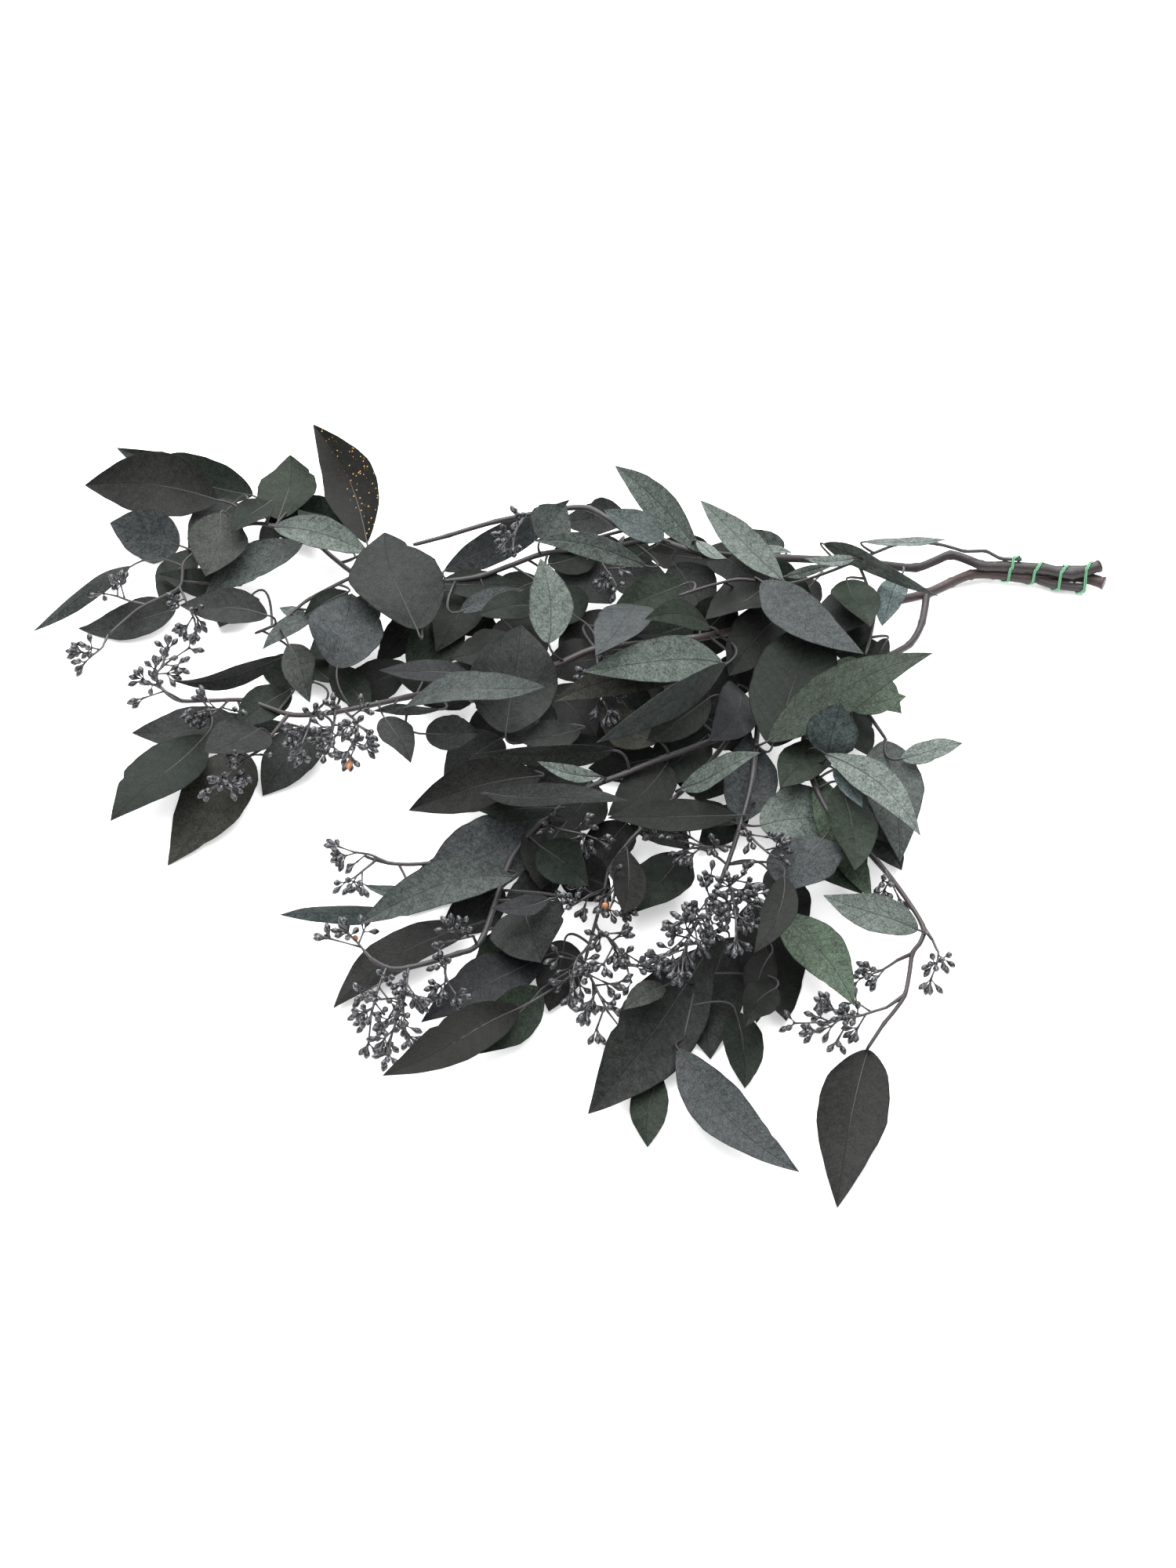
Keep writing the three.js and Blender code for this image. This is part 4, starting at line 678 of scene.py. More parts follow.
class Value:
    """A socket of a material's nodes, with arithmetic that adds Math nodes."""

    def __init__(self, finish, socket):
        self.finish = finish
        self.socket = socket

    def math(self, operation, *values):
        return self.finish.node("Math", {"operation": operation}, dict(enumerate(values)))

    def __add__(self, other):
        return self.math("ADD", self, other)

    def __sub__(self, other):
        return self.math("SUBTRACT", self, other)

    def __rsub__(self, other):
        return self.math("SUBTRACT", other, self)

    def __mul__(self, other):
        return self.math("MULTIPLY", self, other)

    def __truediv__(self, other):
        return self.math("DIVIDE", self, other)

    __radd__ = __add__
    __rmul__ = __mul__

    def __abs__(self):
        return self.math("ABSOLUTE", self)

    def part(self):
        """What is left after the whole number is taken away."""
        return self.math("FRACT", self)

    def step(self, low, high):
        """0 below low, 1 above high and smooth between."""
        return self.finish.node("MapRange", {"interpolation_type": "SMOOTHSTEP"},
                                {"Value": self, "From Min": low, "From Max": high})


class Finish:
    """One material and its nodes."""

    def __init__(self, name):
        self.material = bpy.data.materials.new(name)
        self.material.use_nodes = True
        self.tree = self.material.node_tree
        self.tree.nodes.clear()

    def node(self, kind, settings=None, sockets=None, output=0):
        made = self.tree.nodes.new("ShaderNode" + kind)
        for name, value in (settings or {}).items():
            setattr(made, name, value)
        for name, value in (sockets or {}).items():
            if isinstance(value, Value):
                self.tree.links.new(value.socket, made.inputs[name])
            else:
                made.inputs[name].default_value = value
        return Value(self, made.outputs[output]) if made.outputs else None

    def read(self, name, output="Fac"):
        return self.node("Attribute", {"attribute_name": name}, output=output)

    def noise(self, vector, scale, detail=3.0, roughness=0.6):
        return self.node("TexNoise", {}, {
            "Vector": vector, "Scale": scale, "Detail": detail, "Roughness": roughness})

    def cells(self, vector, scale, feature="F1"):
        """Distance to the nearest of scattered points, or to the edge between two of them."""
        return self.node("TexVoronoi", {"feature": feature}, {"Vector": vector, "Scale": scale}, "Distance")

    def mix(self, share, first, second, blend="MIX"):
        return self.node("Mix", {"data_type": "RGBA", "blend_type": blend, "clamp_factor": True},
                         {0: share, 6: first, 7: second}, output=2)

    def shaded(self, colour, amount):
        """A colour made darker or lighter by a value."""
        return self.mix(1.0, colour, amount, "MULTIPLY")

    def surface(self, sockets, height=None, bump=0.3, depth=0.0004):
        if height is not None:
            sockets["Normal"] = self.node("Bump", {}, {"Height": height, "Strength": bump, "Distance": depth})
        shader = self.node("BsdfPrincipled", {}, sockets)
        self.node("OutputMaterial", {}, {"Surface": shader})
        return self.material


def solid_colour(tone):
    return (*linear(tone), 1.0)


# Finishes: tones as the eye reads them, 0 to 255, sizes in millimetres, scales as spots to a millimetre.
SEED_STRIDE = 90  # keeps the patterns of single leaves and twigs apart
MOTTLE_SCALE, GRAIN_SCALE, PIT_SCALE = 0.16, 0.5, 1.1
NET_SCALE = 0.62
SPECK_SCALE = 0.36
SPECK_PATCH_SCALE = 0.06
MIDRIB_HALF_WIDTH = 0.42
MIDRIB_TAPER = 0.3
VEIN_SPACING = 6.5
VEIN_SLANT = 0.8
VEIN_WANDER = 3.0
UNDERSIDE_TONE = (88, 93, 88)
GOLD_TONE = (196, 148, 76)
PORE_TONE = (150, 128, 110)
NUT_TONE, FROST_AND_HIGHLIGHT_TONE = (26, 26, 29), (140, 143, 150)
STALK_TONE, STALK_FOOT_TONE = (46, 43, 46), (98, 96, 100)
RIPE_TONE = (172, 108, 58)
CAP_RING = 0.83  # place of the ring under a nut's cap, as a share of its length
FROST_AND_HIGHLIGHT_SCALE, PATCH_SCALE = 900.0, 260.0  # spots to a metre
STRING_DARK, STRING_HIGHLIGHT_TONE = (44, 108, 74), (118, 184, 142)


def leaf_finish():
    """Matte leaf: its own tone, partly painted light and shade, mottled and finely netted, with a midrib,
    slanting side veins, a thin dark edge, a paler underside and, on one leaf, gold specks. Lines are drawn by
    distance in millimetres."""
    finish = Finish("leaf")
    along, across, half = finish.read("along"), finish.read("across"), finish.read("half")
    reach = along * finish.read("length")
    sideways = across * half
    off = abs(sideways)
    spot = finish.node("CombineXYZ", {}, {"X": reach, "Y": sideways, "Z": finish.read("seed") * SEED_STRIDE})
    mottle = finish.noise(spot, MOTTLE_SCALE, 5.0, 0.7)
    grain = finish.noise(spot, GRAIN_SCALE, 3.0, 0.7)
    pits = finish.noise(spot, PIT_SCALE, 2.0, 0.6)
    midrib = 1 - (off - (MIDRIB_HALF_WIDTH - MIDRIB_TAPER * along)).step(-0.1, 0.22)
    slant = (reach - VEIN_SLANT * off + mottle * VEIN_WANDER) / VEIN_SPACING
    veins = (1 - abs(slant.part() - 0.5).step(0.015, 0.075)) * off.step(0.3, 1.2)
    net = 1 - finish.cells(spot, NET_SCALE, "DISTANCE_TO_EDGE").step(0.02, 0.16)
    edge = abs(across).step(0.93, 0.985)
    shade = (0.3 + 0.45 * mottle.step(0.3, 0.7) + 0.5 * grain.step(0.35, 0.65)
             + 0.45 * pits.step(0.35, 0.65))
    shade = shade * (1 - 0.5 * midrib) * (1 - 0.28 * veins) * (1 - 0.25 * net) * (1 - 0.4 * edge)
    colour = finish.shaded(finish.read("tone", "Color"), shade)
    under = finish.read("under")
    colour = finish.mix(under * 0.3, colour, solid_colour(UNDERSIDE_TONE))
    specks = 1 - finish.cells(spot, SPECK_SCALE).step(0.12, 0.2)
    patches = (across * 0.5 + finish.noise(spot, SPECK_PATCH_SCALE, 1.0)).step(0.35, 0.6)
    colour = finish.mix(specks * finish.read("speckle") * patches, colour, solid_colour(GOLD_TONE))
    height = grain * 0.5 + pits * 0.3 - midrib * 0.8 - veins * 0.3 - net * 0.25
    look = {"Base Color": colour, "Roughness": 0.4 + 0.25 * grain, "Specular IOR Level": 0.1}
    return finish.surface(look, height, 0.35, 0.0004)


def bark_finish():
    """Smooth bark: its own tone streaked along the twig, with small pale pores and dull cut wood."""
    finish = Finish("bark")
    along, around, seed = finish.read("along"), finish.read("around"), finish.read("seed") * SEED_STRIDE
    spot = finish.node("CombineXYZ", {}, {"X": along * 0.12, "Y": around * 7, "Z": seed})
    streak = finish.noise(spot, 1.0, 4.0, 0.6)
    dots = finish.node("CombineXYZ", {}, {"X": along * 0.5, "Y": around * 6, "Z": seed})
    pores = 1 - finish.cells(dots, 1.0).step(0.08, 0.2)
    colour = finish.shaded(finish.read("tone", "Color"), 0.6 + 0.8 * streak)
    colour = finish.mix(pores * 0.35, colour, solid_colour(PORE_TONE))
    look = {"Base Color": colour, "Roughness": 0.36 + 0.25 * streak, "Specular IOR Level": 0.4}
    return finish.surface(look, streak + pores * 0.6, 0.4, 0.0004)


def nut_finish():
    """Charcoal nuts with pale frosty spots, partly real frost and partly painted highlights, a dark ring
    under the cap, and grey twiglets.
    """
    finish = Finish("gum_nut")
    along = finish.read("along")
    spot = finish.node("TexCoord", output="Object")
    frost_and_highlight = finish.noise(spot, FROST_AND_HIGHLIGHT_SCALE, 3.0, 0.7)
    patch = finish.noise(spot, PATCH_SCALE, 2.0)
    ring = 1 - abs(along - CAP_RING).step(0.006, 0.03)
    # Pale spots mixed towards a pale grey: partly the nuts' real frost, partly painted highlights.
    body = finish.mix(frost_and_highlight.step(0.5, 0.68) * 0.75, solid_colour(NUT_TONE), solid_colour(FROST_AND_HIGHLIGHT_TONE))
    body = finish.mix(along.step(0.42, 0.6), solid_colour(STALK_TONE), body)
    body = finish.mix(1 - along.step(0.02, 0.14), body, solid_colour(STALK_FOOT_TONE))
    body = finish.shaded(body, (0.75 + 0.5 * patch) * (1 - 0.5 * ring))
    body = finish.mix(finish.read("ripe"), body, solid_colour(RIPE_TONE))
    look = {"Base Color": body, "Roughness": 0.24 + 0.26 * frost_and_highlight, "Specular IOR Level": 0.6,
            "Coat Weight": 0.2 * patch, "Coat Roughness": 0.2}
    return finish.surface(look, frost_and_highlight, 0.4, 0.0003)


def string_finish():
    """Mint green string with a painted highlight: paler where a ply stands proud, with fine lengthwise
    fibres.
    """
    finish = Finish("string")
    ply = finish.read("ply")
    spot = finish.node("CombineXYZ", {}, {
        "X": finish.read("along") * 0.35, "Y": finish.read("around") * 6, "Z": ply})
    fibre = finish.noise(spot, 1.6, 3.0)
    # Painted highlight: the proud crowns of the plies, with the fibres, are mixed towards a pale green.
    colour = finish.mix(ply * 0.8 + fibre * 0.3, solid_colour(STRING_DARK), solid_colour(STRING_HIGHLIGHT_TONE))
    look = {"Base Color": colour, "Roughness": 0.42 + 0.2 * fibre, "Specular IOR Level": 0.4}
    return finish.surface(look, fibre, 0.4, 0.0003)


# Finer shapes of the scene. Lengths are in millimetres and angles in radians.
LEAF_GAIN, BARK_GAIN, CUT_GAIN = 0.52, 0.5, 0.6  # brightness of the listed tones
FINE_STEPS = 4
BLADE_ROWS = 30
BLADE_COLUMNS = 11
BLADE_THICKNESS = 0.45
FIRST_ROW = 0.02  # share of the way along at which a blade's rows begin
LAST_COLUMN = 0.97  # share of the half width at which its edge columns begin
SECOND_EDGE = 1.7  # shifts the pattern of one edge against the other's
EDGE_WAVES = ((0.018, 17, 40, 1), (0.012, 41, 90, 2))  # size, rate, turn by seed, turn by edge
NICK_DEPTH = 0.1  # share of the half width
NICK_WIDTH = 0.018  # share of the length
NICK_SHARE = 0.6  # share of the edges that have no nick
NECK_WIDTH = 0.5  # half width at the foot of a blade
NECK_POWER = 12
LEAST_HALF = 0.5
EDGE_THINNING = 0.4
THINNING_POWER = 3
GROOVE_DEPTH = 0.22
GROOVE_REACH = 0.8
UPPER_FLOOR, LOWER_FLOOR, MIDRIB_FLOOR = 0.4, 0.02, 0.3  # least heights above the table
MIDRIB_DROP = 0.3
MIDRIB_SHARE = 0.9  # of the blade, over which the petiole runs on
MIDRIB_STEPS = 12
PETIOLE_STEPS = 9
PETIOLE_RADII = (0.85, 0.6)
PETIOLE_THINNING = 0.48
STEM_SIDES = 14
KNOT_SWELLING = 0.16
KNOT_POWER = 8
TWIG_END = 0.6  # share of its radius that is left at a twig's end
TWIG_TINT = 0.7  # share of the twigs' tone in a twig
FADE_START, FADE_RINGS = 40, 80  # rings over which a stem's tone goes over to a twig's
CUT_RADIUS = 0.94  # share of the stem's radius
CUT_PROUD, CUT_SUNK = 0.02, 0.2  # shares of the first step of a stem
TWIGLET_SIDES = 6
STALK_STEPS = 8
STALK_TAPER = 0.72  # share of the radius left at a stalk's end
STALK_VALUE = 0.2  # place on the nut's scale of tones that gives the tone of its stalk
SIDE_STALK_REACH = 1.08  # share of the way to its nuts
SIDE_STALK_RADII = np.array([0.7, 0.5, 0.5, 0.75])
NUT_SIDES = 6
HEAD_SHARE = 0.8  # where a nut's head is, as a share of its length
HEAD_SPACING = 1.9  # least distance of two heads, in nut radii
TABLE_CLEARANCE = 0.2
FAR_AWAY = (0, 0, 1e6)
EXTRA_SEED = 900
UMBEL_BACK = 0.1  # share of a step by which a side stalk stands back
EXTRA_ROOM = 0.7  # share of a nut's room
EXTRA_LEAN = (0.0, 1.15)
EXTRA_SIZE = (0.85, 1.05)
END_LEAN = 0.2
STRING_SIDES = 10
STRANDS = 2
STRAND_RADIUS = 0.4
STRAND_OFFSET = 0.42
STRING_CLEARANCE = 0.55
PLY_RISE = 0.1
PLY_TWIST = 1.6  # radians to a millimetre
# Further nuts of the scene.
EXTRA_SPACING = 6.0
FULL_SPACING = 3.2  # in the sprays with the most nuts
EXTRA_REACH = (0.8, 1.6)
FULL_REACH = (0.8, 2.6)
FULL_SPRAYS = (3, 4, 12, 13, 14, 20, 21, 22, 24, 25, 28, 29)
EXTRA_TRIES = 8
RIPE_SPRAYS = (7, 12, 19)
# Nut on its own stalk: share of its length, radius in millimetres.
NUT_PROFILE = np.array([(0.0, 0.42), (0.28, 0.36), (0.43, 0.8), (0.58, 1.5), (0.73, 1.85), (0.8, 1.62),
                        (0.92, 1.0), (1.0, 0.15)])
BARK_TONES = {"brown": (78, 62, 61), "dark": (56, 49, 50), "thin": (64, 60, 63), "front": (54, 49, 51)}
TWIG_TONE = (66, 63, 66)
CUT_TONE = (96, 72, 66)


def blade_edge(along, across, seed):
    """Small waves and nicks that change the half width along each edge of a blade."""
    side = np.where(across < 0, SECOND_EDGE, 0.0)
    waves = sum(size * np.sin(rate * along + by_seed * seed + by_edge * side)
                for size, rate, by_seed, by_edge in EDGE_WAVES)
    nick_place = 0.45 + 0.4 * ((seed * 7.31 + 0.4 * side) % 1)
    nicked = (seed * 3.7 + side) % 1 > NICK_SHARE
    nick = NICK_DEPTH * np.exp(-((along - nick_place) / NICK_WIDTH) ** 2) * nicked
    return 1 + waves - nick


def blade_grid(blade, seed):
    """Rings round a blade from base to tip: its upper face from edge to edge, then its lower face back.
    Columns crowd at the edges. The upper face sinks along the midrib. Returns points and their values."""
    along = 0.5 - 0.5 * np.cos(np.pi * np.linspace(FIRST_ROW, 1, BLADE_ROWS))
    inner = np.linspace(-LAST_COLUMN, LAST_COLUMN, BLADE_COLUMNS)
    across = np.concatenate([[-1], inner, [1]])
    along, across = np.meshgrid(along, across, indexing="ij")
    middle = blade_points(blade, along, across, blade_edge(along, across, seed))
    neck = (1 - along[:, :1]) ** NECK_POWER * NECK_WIDTH
    middle += (across * neck)[..., None] * blade["side"]
    thick = 0.5 * BLADE_THICKNESS * (1 - EDGE_THINNING * np.abs(across) ** THINNING_POWER)
    half = blade["half"] * blade_outline(blade, along) + LEAST_HALF
    groove = GROOVE_DEPTH * np.exp(-(across * half / GROOVE_REACH) ** 2)
    upper = middle + (thick - groove)[..., None] * blade["normal"]
    lower = middle - (thick + groove)[..., None] * blade["normal"]
    upper[..., 2] = np.maximum(upper[..., 2], UPPER_FLOOR)
    lower[..., 2] = np.maximum(lower[..., 2], LOWER_FLOOR)
    faces = {"along": (along, along), "across": (across, across[:, ::-1]), "half": (half, half),
             "under": (np.zeros_like(across), np.ones_like(across))}
    values = {name: np.concatenate(pair, axis=1) for name, pair in faces.items()}
    return np.concatenate([upper, lower[:, ::-1]], axis=1), values


def add_blade(skin, leaf):
    """Blade of a leaf, in its own tone and with its own pattern."""
    seed = (leaf["number"] * 0.618 + 0.13) % 1
    grid, values = blade_grid(leaf["blade"], seed)
    # The tone is partly the leaf's own colour and partly painted light and shade.
    skin.add(grid, **values, length=leaf["blade"]["length"], seed=seed,
             tone=LEAF_GAIN * linear(LEAF_TONES_AND_PAINTED_LIGHT[leaf["tone"]]),
             speckle=float(leaf["number"] == SPECKLED_LEAF))


def ring_values(path, sides):
    """Distance along a path in millimetres and sine of the turn round it, for each point of its rings."""
    steps = np.concatenate([[0], np.cumsum(np.linalg.norm(np.diff(path, axis=0), axis=1))])
    turn = np.sin(2 * np.pi * np.arange(sides) / sides)
    return {"along": np.broadcast_to(steps[:, None], (len(path), sides)),
            "around": np.broadcast_to(turn[None], (len(path), sides))}


def add_petiole(skin, leaf):
    """Petiole from the stem to the blade, running on under the midrib and thinning to nothing."""
    blade = leaf["blade"]
    stalk = petiole_run(leaf["root"], blade, PETIOLE_STEPS)
    along = np.linspace(0, MIDRIB_SHARE, MIDRIB_STEPS + 1)[1:]
    midrib = blade_points(blade, along, np.zeros_like(along)) - MIDRIB_DROP * blade["normal"]
    midrib[:, 2] = np.maximum(midrib[:, 2], MIDRIB_FLOOR)
    path = np.concatenate([stalk, midrib])
    radii = np.concatenate([np.linspace(*PETIOLE_RADII, PETIOLE_STEPS + 1),
                            PETIOLE_RADII[1] - PETIOLE_THINNING * along])
    skin.add(tube(path, radii, TWIGLET_SIDES), **ring_values(path, TWIGLET_SIDES),
             seed=leaf["number"] * 0.37 % 1, tone=BARK_GAIN * linear(TWIG_TONE))


def add_route(skin, route, number):
    """Stem or twig along its smooth run, a little swollen at its places, and drawn in at its end. A stem
    also has a plate of cut wood."""
    fine = smooth_run(route.curve[::RUN_STEPS // 2], FINE_STEPS)
    share = np.linspace(0, 1, len(fine))
    radii = np.interp(share, np.linspace(0, 1, len(route.radii)), route.radii)
    beat = np.cos(2 * np.pi * share * (len(route.run) - 1) / RUN_STEPS)
    radii = radii * (1 + KNOT_SWELLING * np.maximum(beat, 0) ** KNOT_POWER)
    radii[-1] *= TWIG_END
    tone = np.broadcast_to(BARK_GAIN * linear(BARK_TONES[route.stem]), (len(fine), STEM_SIDES, 3))
    fade = 1.0
    if route.main:
        fade = np.clip((share * len(fine) - FADE_START) / FADE_RINGS, 0, 1)[:, None, None]
    tone = tone + (BARK_GAIN * linear(TWIG_TONE) - tone) * TWIG_TINT * fade
    skin.add(tube(fine, radii, STEM_SIDES), **ring_values(fine, STEM_SIDES),
             seed=number * 0.29 % 1, tone=tone)
    if route.main:
        step = fine[1] - fine[0]
        ends = np.stack([fine[0] - step * CUT_PROUD, fine[0] + CUT_SUNK * step])
        skin.add(tube(ends, radii[0] * CUT_RADIUS, STEM_SIDES), **ring_values(ends, STEM_SIDES),
                 seed=0.5, tone=CUT_GAIN * linear(CUT_TONE))


def leaning(axis, lean, angle):
    """Unit vector at a lean from an axis, turned round it by an angle."""
    across = square_to(axis)
    over = np.cross(axis, across)
    outward = across * math.cos(angle) + over * math.sin(angle)
    return axis * math.cos(lean) + outward * math.sin(lean)


def nut_grid(foot, axis, length):
    """The nut's profile turned round its axis."""
    across = square_to(axis)
    over = np.cross(axis, across)
    angle = 2 * np.pi * np.arange(NUT_SIDES) / NUT_SIDES
    share, radius = NUT_PROFILE[:, 0], NUT_PROFILE[:, 1]
    spokes = np.cos(angle)[:, None] * across + np.sin(angle)[:, None] * over
    return foot + (share * length)[:, None, None] * axis + radius[:, None, None] * spokes[None]


def nut_room(foot, axis, length):
    """Points along a nut's axis and the room that it takes round them."""
    return foot + NUT_SAMPLES[:, None] * length * axis, NUT_SAMPLES * NUT_ROOM


def point_on(stalk, share):
    """Point and direction at a share of the length of a stalk's straight stretches."""
    lengths = np.linalg.norm(np.diff(stalk, axis=0), axis=1)
    far = share * lengths.sum()
    edges = np.concatenate([[0], np.cumsum(lengths)])
    k = min(int(np.searchsorted(edges, far, side="right")) - 1, len(lengths) - 1)
    along = (stalk[k + 1] - stalk[k]) / lengths[k]
    return stalk[k] + along * (far - edges[k]), along


def spray_umbels(spray):
    """Hubs and nuts of a spray: at even steps a side stalk leans out and nuts fan out from its end. The few
    that carry the outline come first, then as many more between them as there is room for."""
    name, stalk = spray["name"], spray["stalk"]
    draw = seeded_draws(FIRST_SPRAY_SEED + spray["number"])
    extra = np.random.default_rng(EXTRA_SEED + spray["number"])
    length = np.linalg.norm(np.diff(stalk, axis=0), axis=1).sum()
    umbels = max(1, math.floor(length / UMBEL_SPACING + 0.5))
    side = draw(FULL_TURN)
    hubs = []
    nuts = []

    def others(owner, kind):
        return owner != name

    def offer(hub, axis, size, sure):
        """Keep a nut that is clear of other growths, and if it isn't a sure one, of the spray's own heads."""
        points, room = nut_room(hub, axis, size)
        if not sure:
            room = room * EXTRA_ROOM
            head = hub + HEAD_SHARE * size * axis
            heads = np.array([at + HEAD_SHARE * far * way for at, way, far in nuts] or [FAR_AWAY])
            if np.linalg.norm(heads - head, axis=1).min() < HEAD_SPACING * NUT_RADIUS:
                return
        above_table = points[:, 2].min() > NUT_RADIUS + TABLE_CLEARANCE
        if above_table and space.is_free(points, room, others):
            nuts.append((hub, axis, size))
            space.take(name, "nut", points, room)

    for umbel in range(1, umbels + 1):
        foot, along = point_on(stalk, (umbel - UMBEL_BACK) / umbels)
        side += GOLDEN_TURN
        out = leaning(along, UMBEL_LEAN, side)
        hub = foot + out * PEDUNCLE_LENGTH
        first = draw(FULL_TURN)
        hubs.append((foot, hub, out))
        for nut in range(NUTS_IN_UMBEL):
            axis = leaning(out, draw(NUT_LEAN), first + 2 * math.pi * nut / NUTS_IN_UMBEL)
            offer(hub, axis, CLUB_LENGTH, True)
    full = spray["number"] in FULL_SPRAYS
    spacing, reach = (FULL_SPACING, FULL_REACH) if full else (EXTRA_SPACING, EXTRA_REACH)
    more = max(2, round(length / spacing))
    for umbel in range(1, more + 1):
        foot, along = point_on(stalk, umbel / more)
        lean = END_LEAN if umbel == more else UMBEL_LEAN
        out = leaning(along, lean, GOLDEN_TURN * umbel + side + math.pi)
        hubs.append((foot, foot + out * PEDUNCLE_LENGTH * extra.uniform(*reach), out))
    for _, hub, out in hubs:
        for _ in range(EXTRA_TRIES):
            axis = leaning(out, extra.uniform(*EXTRA_LEAN), extra.uniform(0, 2 * math.pi))
            offer(hub, axis, extra.uniform(*EXTRA_SIZE) * CLUB_LENGTH, False)
    used = [hub for hub in hubs if any(at is hub[1] for at, _, _ in nuts)]
    return used, nuts


def spray_piece(spray, finish):
    """Stalk joined to its spur on the stem, side stalks, and nuts."""
    skin = Skin()
    path = smooth_run(np.concatenate([spray["root"][None], spray["stalk"]]), STALK_STEPS)
    radii = np.linspace(STALK_RADIUS, STALK_TAPER * STALK_RADIUS, len(path))
    skin.add(tube(path, radii, TWIGLET_SIDES + 2), along=STALK_VALUE, ripe=0.0)
    hubs, nuts = spray_umbels(spray)
    for foot, hub, _ in hubs:
        run = foot + (hub - foot) * np.linspace(0, SIDE_STALK_REACH, len(SIDE_STALK_RADII))[:, None]
        skin.add(tube(run, SIDE_STALK_RADII, TWIGLET_SIDES), along=STALK_VALUE, ripe=0.0)
    along = np.broadcast_to(NUT_PROFILE[:, :1], (len(NUT_PROFILE), NUT_SIDES))
    for number, (hub, axis, size) in enumerate(nuts):
        ripe = spray["number"] in RIPE_SPRAYS and number == len(nuts) - 1
        skin.add(nut_grid(hub, axis, size), along=along, ripe=float(ripe))
    skin.piece(spray["name"] + "_look", finish, "gum_nut", spray["name"])


def route_at(route, x):
    """Axis point and radius of a route at one X, met first from its end of greater X."""
    k = max(int(np.argmax(route.run[:, 0] < x)), 1)
    before, after = route.run[k - 1], route.run[k]
    share = min(max((x - before[0]) / (after[0] - before[0]), 0), 1)
    return before + (after - before) * share, route.radii[k]


def string_piece(finish):
    """Two strands side by side, wound round the stems' common outline while they move along it."""
    steps = round(STEPS_TO_A_TURN * STRING_TURNS)
    ends = [place(across, *TIE_MIDDLE)[0] for across in TIE_SPAN]
    tied = [route for route in routes if (route.stem, route.number) in TIED_ROUTES]
    wound = []
    outwards = []
    for step in range(steps + 1):
        x = ends[0] + (ends[1] - ends[0]) * step / steps
        angle = 2 * math.pi * step / STEPS_TO_A_TURN + FIRST_STRING_ANGLE
        outward = np.array([0.0, math.cos(angle), math.sin(angle)])
        reaches = []
        for route in tied:
            if not route.run[-1, 0] <= x <= route.run[0, 0]:
                continue
            centre, radius = route_at(route, x)
            point = centre + outward * (radius + STRING_CLEARANCE)
            point[0] = x
            reaches.append((np.dot(point, outward), tuple(point)))
        wound.append(max(reaches)[1])
        outwards.append(outward)
    path = smooth_run(np.array(wound)[::2], FINE_STEPS)
    outward = smooth_run(np.array(outwards)[::2], FINE_STEPS)
    tangents, _, _ = carried_frames(path)
    side = np.cross(tangents, outward)
    skin = Skin()
    for strand in range(STRANDS):
        lane = path + side * (STRAND_OFFSET * (2 * strand - 1))
        grid = tube(lane, STRAND_RADIUS, STRING_SIDES)
        values = ring_values(lane, STRING_SIDES)
        turn = 2 * np.pi * np.arange(STRING_SIDES)[None] / STRING_SIDES
        ply = np.cos(2 * (turn - values["along"] * PLY_TWIST))
        grid = lane[:, None] + (grid - lane[:, None]) * (1 + PLY_RISE * ply)[..., None]
        skin.add(grid, **values, ply=0.5 + 0.5 * ply)
    skin.piece("tie_string_look", finish, "string", "tie_string")


leaf_material, bark_material, nut_material = leaf_finish(), bark_finish(), nut_finish()
for stem in STEMS:
    foliage, bark = Skin(), Skin()
    for leaf in leaves:
        if leaf["stem"] == stem:
            add_blade(foliage, leaf)
            add_petiole(bark, leaf)
    for number, route in enumerate(routes):
        if route.stem == stem:
            add_route(bark, route, number)
    foliage.piece(f"leaves_{stem}", leaf_material, "leaf", f"leafy_stem_{stem}")
    bark.piece(f"bark_{stem}", bark_material, "bark", f"leafy_stem_{stem}")
for spray in stalks:
    spray_piece(spray, nut_material)
string_piece(string_finish())


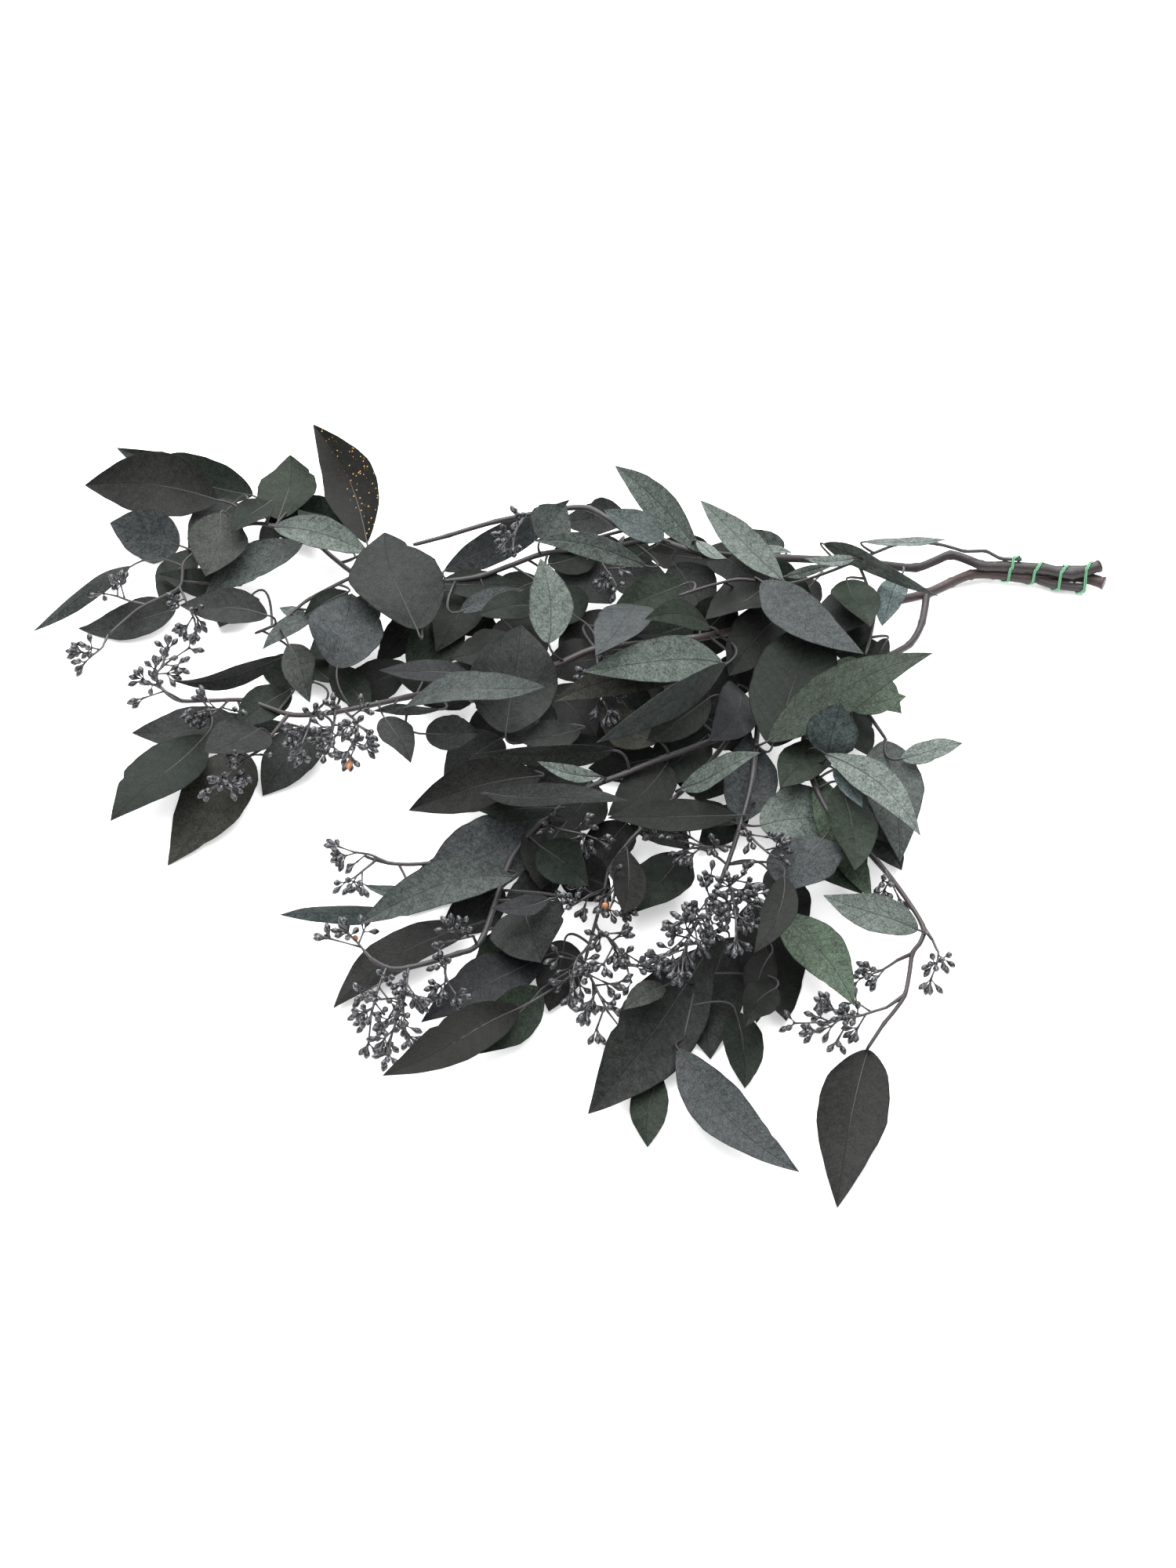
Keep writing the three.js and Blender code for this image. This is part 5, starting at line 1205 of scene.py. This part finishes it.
# Stage, in metres and watts.
FLOOR_REACH = 6.0
FLOOR_HEIGHT = -0.0006
LIGHTS = (("back_light", (0.0, 1.5, 1.7), 2.4, 105.0), ("top_light", (0.0, -0.1, 2.2), 2.6, 85.0))
WORLD_STRENGTH = 0.55
SENSOR_MM = 36.0
WHITE = (1.0, 1.0, 1.0, 1.0)


def soft_light(name, place_m, size, power):
    """A square soft light that faces the middle of the bunch."""
    data = bpy.data.lights.new(name, "AREA")
    data.shape = "SQUARE"
    data.size = size
    data.energy = power
    lamp = bpy.data.objects.new(name, data)
    bpy.context.scene.collection.objects.link(lamp)
    lamp.location = place_m
    lamp.rotation_euler = Vector(place_m).to_track_quat("Z", "Y").to_euler()


def make_stage():
    """A pale floor, soft light from above and behind, and the camera at the view's angle."""
    finish = Finish("floor")
    white = finish.surface({"Base Color": (0.9, 0.9, 0.9, 1.0), "Roughness": 1.0, "Specular IOR Level": 0.0,
                            "Emission Color": WHITE, "Emission Strength": 0.4})
    mesh = bpy.data.meshes.new("floor")
    corners = [(x * FLOOR_REACH, y * FLOOR_REACH, FLOOR_HEIGHT)
               for x, y in ((-1, -1), (1, -1), (1, 1), (-1, 1))]
    mesh.from_pydata(corners, [], [(0, 1, 2, 3)])
    mesh.materials.append(white)
    floor = bpy.data.objects.new("floor", mesh)
    bpy.context.scene.collection.objects.link(floor)
    for light in LIGHTS:
        soft_light(*light)
    world = bpy.data.worlds.new("studio")
    world.use_nodes = True
    sky = world.node_tree.nodes["Background"].inputs
    sky["Color"].default_value = WHITE
    sky["Strength"].default_value = WORLD_STRENGTH
    bpy.context.scene.world = world
    bpy.context.scene.view_settings.view_transform = "Standard"
    data = bpy.data.cameras.new("camera")
    data.sensor_fit = "VERTICAL"
    data.sensor_height = SENSOR_MM
    data.lens = SENSOR_MM * FOCAL / VIEW_HEIGHT
    camera = bpy.data.objects.new("camera", data)
    bpy.context.scene.collection.objects.link(camera)
    camera.location = (TOWARDS_VIEWER * VIEW_DISTANCE - FOOTPRINT_MIDDLE) * MM
    camera.rotation_euler = (math.pi / 2 - VIEW_ELEVATION, 0.0, 0.0)
    bpy.context.scene.camera = camera


make_stage()
